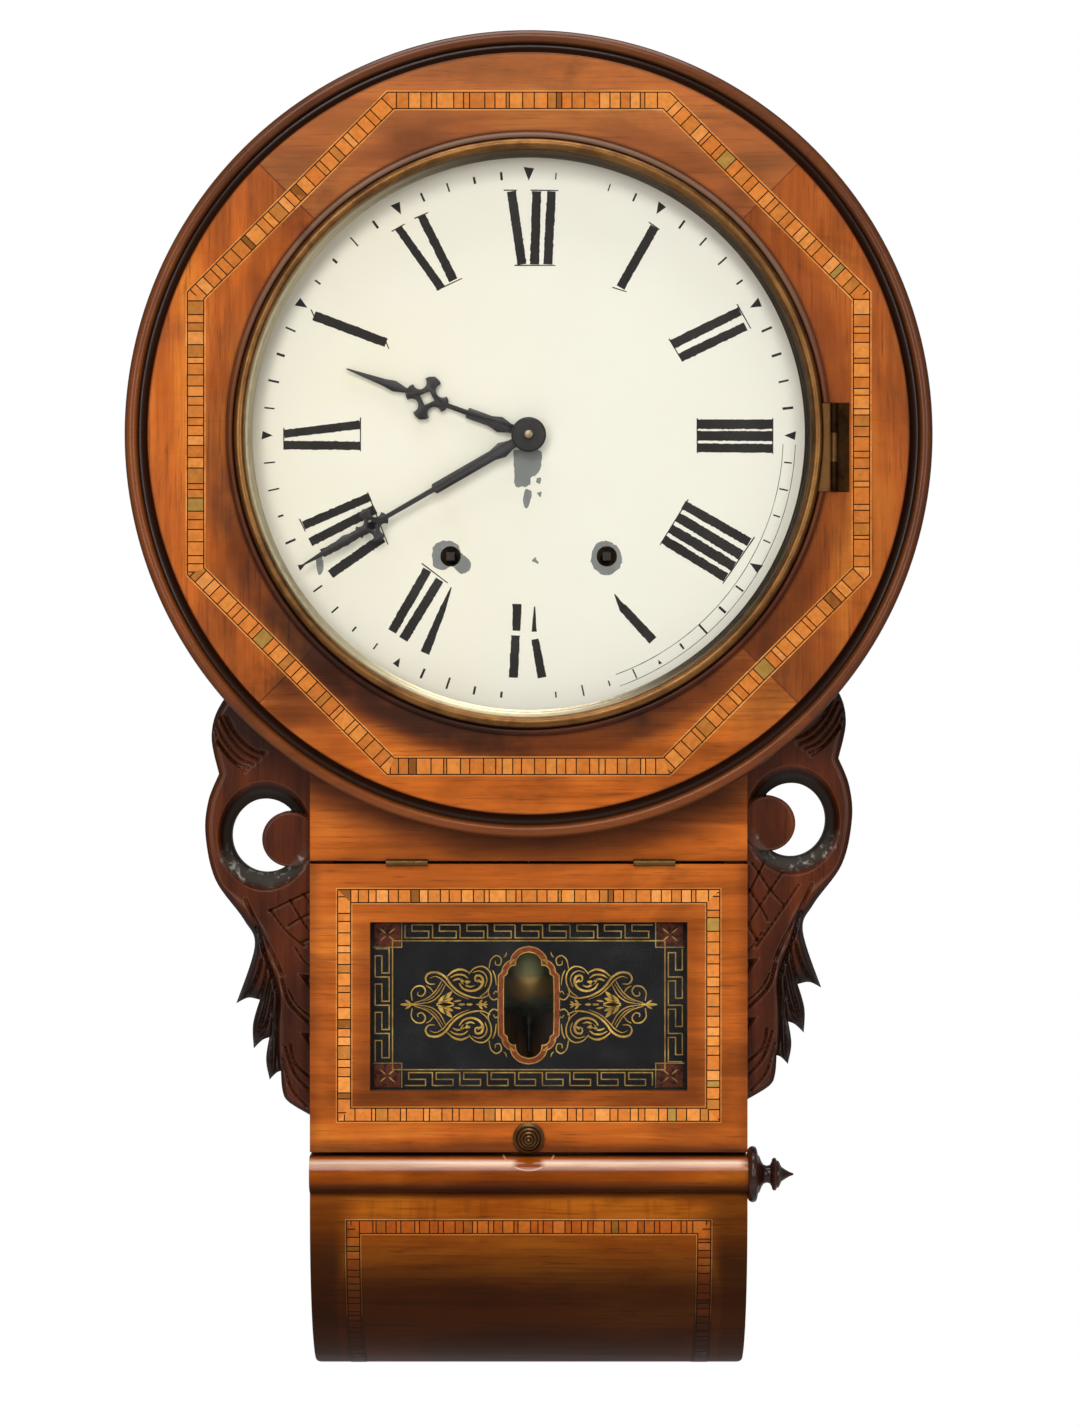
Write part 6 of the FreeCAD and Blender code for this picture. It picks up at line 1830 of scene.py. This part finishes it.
class CLOCK_OT_brasswork(ClockStep, bpy.types.Operator):
    """Turns the ringed knob and finishes the door's hinges and latch"""

    bl_idname = "clock.brasswork"
    bl_label = "Knob and Hinges"

    def execute(self, context):
        low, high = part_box("door_knob")
        centre = middle_of("door_knob")
        face = -DOOR_LOW.y / MM
        back = -high.y / MM
        knob = (high.x - low.x) / 2 / MM
        tip = -low.y / MM
        rise = tip - face
        profile = [(back, 0), (back, 2.0), (face + 0.1, 2.0), (face + 0.1, knob - 0.4), (face + 0.6, knob),
                   (face + 1.8, knob), (face + 2.4, knob - 0.5)]
        rings = 4
        for ring in range(rings):
            outer = knob * (0.90 - 0.20 * ring)
            inner = knob * (0.90 - 0.20 * (ring + 1))
            height = face + 2.4 + (rise - 3.0) * (ring + 0.4) / rings
            profile += [(height - 0.9, outer), (height, outer - 0.25), (height + 0.6, outer - 0.9),
                        (height + 0.5, inner + 0.7), (height + 0.1, inner + 0.2)]
        profile += [(tip - 1.4, knob * 0.10), (tip - 0.4, knob * 0.08), (tip, 0)]
        mesh = turned_mesh("door_knob_turned", profile, Vector((centre.x, 0, centre.z)), segments=64)
        bronze = brass_finish("knob_bronze", "7A5E3C", 0.30, "2C2014", 0.75)
        add_piece("door_knob_turned", mesh, bronze, "knob", ("door_knob",), 30.0)
        dull = brass_finish("door_hinge_brass", "6E5430", 0.36, "231A10", 0.7)
        for node in ("door_hinge_upper_leaves", "door_hinge_lower_leaves", "door_latch"):
            dress(node, dull)
        return {"FINISHED"}


# Nodes inside the case by what they are made of.
PLATES = ("movement_back_plate", "movement_front_plate", "suspension_cock")
WHEELS = ("time_main_wheel", "strike_main_wheel", "second_wheel", "centre_wheel", "third_wheel",
          "escape_wheel", "strike_second_wheel", "strike_third_wheel", "fly", "hour_wheel", "minute_wheel")
STEELS = ("dial_screws", "movement_pillars", "movement_nuts", "plate_studs", "anchor", "pendulum_rod",
          "hammer", "cannon_pinion")
SPRINGS = ("time_mainspring", "strike_mainspring", "gong_coil")
ARBORS = ("time_winding_arbor", "strike_winding_arbor")
BOB_PIECES = ("pendulum_bob", "rating_nut")


class CLOCK_OT_movement(ClockStep, bpy.types.Operator):
    """Finishes the movement, the pendulum and the gong inside the case"""

    bl_idname = "clock.movement"
    bl_label = "Movement and Pendulum"

    def execute(self, context):
        groups = [
            (PLATES, brass_finish("plate_brass", "B08A4C", 0.3, "6A4C26", 0.5), "brass"),
            (WHEELS, brass_finish("wheel_brass", "C09A58", 0.26, "7A5A2E", 0.4), "brass"),
            (STEELS, steel_finish("bright_steel", "9A9A9A", 0.28), "steel"),
            (SPRINGS, steel_finish("spring_blue", "5A6270", 0.26), "spring_steel"),
            (("gong_block",), paint_finish("cast_iron", hue("2A2A2C"), 0.55, 0.3, 0.3), "iron"),
            (BOB_PIECES, self.bob_finish(), "brass"),
            # The winding squares are dark steel, which also stands for the shade inside the winding holes.
            (ARBORS, steel_finish("dark_steel", "3A3836", 0.4), "steel"),
        ]
        for nodes, material, slot in groups:
            for node in nodes:
                dress(node, material)
        return {"FINISHED"}

    def bob_finish(self):
        """Tarnished brass, dull and greenish above, with a painted golden reflection in a band below the
        middle and painted shade on its lower part.
        """
        finish = Finish("bob_brass", Metallic=1.0)
        wide = finish.noise(finish.place((1, 1, 3)), 70.0, 5.0, 0.65, 0.5)
        _, _, z = finish.axes()
        above = finish.minus(z, middle_of("pendulum_bob").z)
        wander = finish.plus(above, finish.times(finish.minus(wide, 0.5), 0.012))
        # Painted reflection: a golden band below the middle; under it, painted shade darkens the lower part.
        reflection_band = finish.span(finish.magnitude(finish.plus(wander, 0.0125)), 0.0085, 0.003, 0.0, 0.9)
        below = finish.span(wander, -0.020, -0.026, 0.0, 0.85)
        finish.rough(wide, 0.28, 0.38)
        toned = finish.mix(reflection_band, hue("BAB882"), hue("FFCB7C"))
        return finish.colour(finish.mix(below, toned, hue("40382A")))


WHITE = (1.0, 1.0, 1.0, 1.0)

# The studio's lamps: name, place, what it points at, width, height and power.
LAMPS = [
    ("stage_key", (-0.35, -2.4, 1.3), (0, 0, -0.25), 1.4, 1.0, 27.0),
    ("stage_left", (-1.0, -2.3, 0.0), (0, 0, -0.25), 0.8, 1.2, 13.0),
    ("stage_right", (1.0, -2.3, 0.0), (0, 0, -0.25), 0.8, 1.2, 11.0),
    ("stage_top", (0, -0.25, 1.4), (0, -0.25, -0.4), 1.3, 1.1, 22.0),
]


def seen_by_camera(tree):
    """One for what the camera sees, straight or through glass, and nothing for other light."""
    path = add_node(tree, "ShaderNodeLightPath").outputs
    rays = {0: path["Is Camera Ray"], 1: path["Is Transmission Ray"]}
    return add_node(tree, "ShaderNodeMath", rays, operation="MAXIMUM").outputs[0]


class CLOCK_OT_stage(ClockStep, bpy.types.Operator):
    """Sets the camera, the white backdrop and the studio light"""

    bl_idname = "clock.stage"
    bl_label = "Stage"

    def execute(self, context):
        scene = context.scene
        scene.view_settings.view_transform = "Standard"
        camera = bpy.data.objects.new("stage_camera", bpy.data.cameras.new("stage_camera"))
        camera.location = (0.0061, -2.4, -0.2992)
        camera.rotation_euler = (math.radians(90), 0, 0)
        camera.data.sensor_fit = "VERTICAL"
        camera.data.sensor_height = 36.0
        camera.data.lens = 107.7
        scene.collection.objects.link(camera)
        scene.camera = camera

        corners = [(-4, -4, -1.4), (4, -4, -1.4), (4, 4, -1.4), (-4, 4, -1.4)]
        floor = bpy.data.objects.new("stage_floor", bpy.data.meshes.new("stage_floor"))
        floor.data.from_pydata(corners, [], [(0, 1, 2, 3)])
        floor.data.materials.append(self.floor_finish())
        scene.collection.objects.link(floor)

        scene.world = scene.world or bpy.data.worlds.new("stage_world")
        scene.world.use_nodes = True
        tree = scene.world.node_tree
        glow = add_node(tree, "ShaderNodeMapRange", {"Value": seen_by_camera(tree), "To Min": 0.30})
        background = tree.nodes["Background"].inputs
        feed(tree, background["Strength"], glow.outputs["Result"])
        feed(tree, background["Color"], WHITE)
        for lamp in LAMPS:
            self.set_lamp(*lamp)
        return {"FINISHED"}

    def floor_finish(self):
        """Shows plain white to the camera, and an ordinary pale surface to other light."""
        finish = Finish("stage_white", Roughness=0.9)
        finish.drive("Base Color", (0.8, 0.8, 0.8, 1.0))
        glow = finish.node("ShaderNodeEmission", {"Color": WHITE})
        blend = finish.node("ShaderNodeMixShader", {
            "Fac": seen_by_camera(finish.tree), 1: finish.shader.outputs[0], 2: glow.outputs[0]})
        feed(finish.tree, finish.tree.nodes["Material Output"].inputs["Surface"], blend.outputs[0])
        return finish.material

    def set_lamp(self, name, place, target, wide, tall, power):
        lamp = bpy.data.objects.new(name, bpy.data.lights.new(name, "AREA"))
        lamp.data.shape = "RECTANGLE"
        lamp.data.size = wide
        lamp.data.size_y = tall
        lamp.data.energy = power
        lamp.location = place
        lamp.rotation_euler = (Vector(target) - Vector(place)).to_track_quat("-Z", "Y").to_euler()
        bpy.context.scene.collection.objects.link(lamp)


STEPS = (CLOCK_OT_case, CLOCK_OT_surround, CLOCK_OT_parquetry, CLOCK_OT_dial, CLOCK_OT_bezel, CLOCK_OT_hands,
         CLOCK_OT_ears, CLOCK_OT_door, CLOCK_OT_tablet, CLOCK_OT_base, CLOCK_OT_brasswork, CLOCK_OT_movement,
         CLOCK_OT_stage)


class CLOCK_PT_steps(bpy.types.Panel):
    """Lists the steps that build the clock's surfaces"""

    bl_idname = "CLOCK_PT_steps"
    bl_label = "Drop Dial Clock"
    bl_space_type = "VIEW_3D"
    bl_region_type = "UI"
    bl_category = "Clock"

    def draw(self, context):
        for step in STEPS:
            self.layout.operator(step.bl_idname)
        for group in (context.scene.clock_sizes, context.scene.clock_colours):
            for key in group.bl_rna.properties.keys():
                if key not in ("rna_type", "name"):
                    self.layout.prop(group, key)


CLASSES = (ClockColours, ClockSizes, *STEPS, CLOCK_PT_steps)


def register():
    for item in CLASSES:
        bpy.utils.register_class(item)
    bpy.types.Scene.clock_colours = PointerProperty(type=ClockColours)
    bpy.types.Scene.clock_sizes = PointerProperty(type=ClockSizes)


def unregister():
    del bpy.types.Scene.clock_sizes
    del bpy.types.Scene.clock_colours
    for item in reversed(CLASSES):
        bpy.utils.unregister_class(item)


def main():
    register()
    bpy.ops.clock.case()
    bpy.ops.clock.surround()
    bpy.ops.clock.parquetry()
    bpy.ops.clock.dial()
    bpy.ops.clock.bezel()
    bpy.ops.clock.hands()
    bpy.ops.clock.ears()
    bpy.ops.clock.door()
    bpy.ops.clock.tablet()
    bpy.ops.clock.base()
    bpy.ops.clock.brasswork()
    bpy.ops.clock.movement()
    bpy.ops.clock.stage()


if __name__ == "__main__":
    main()
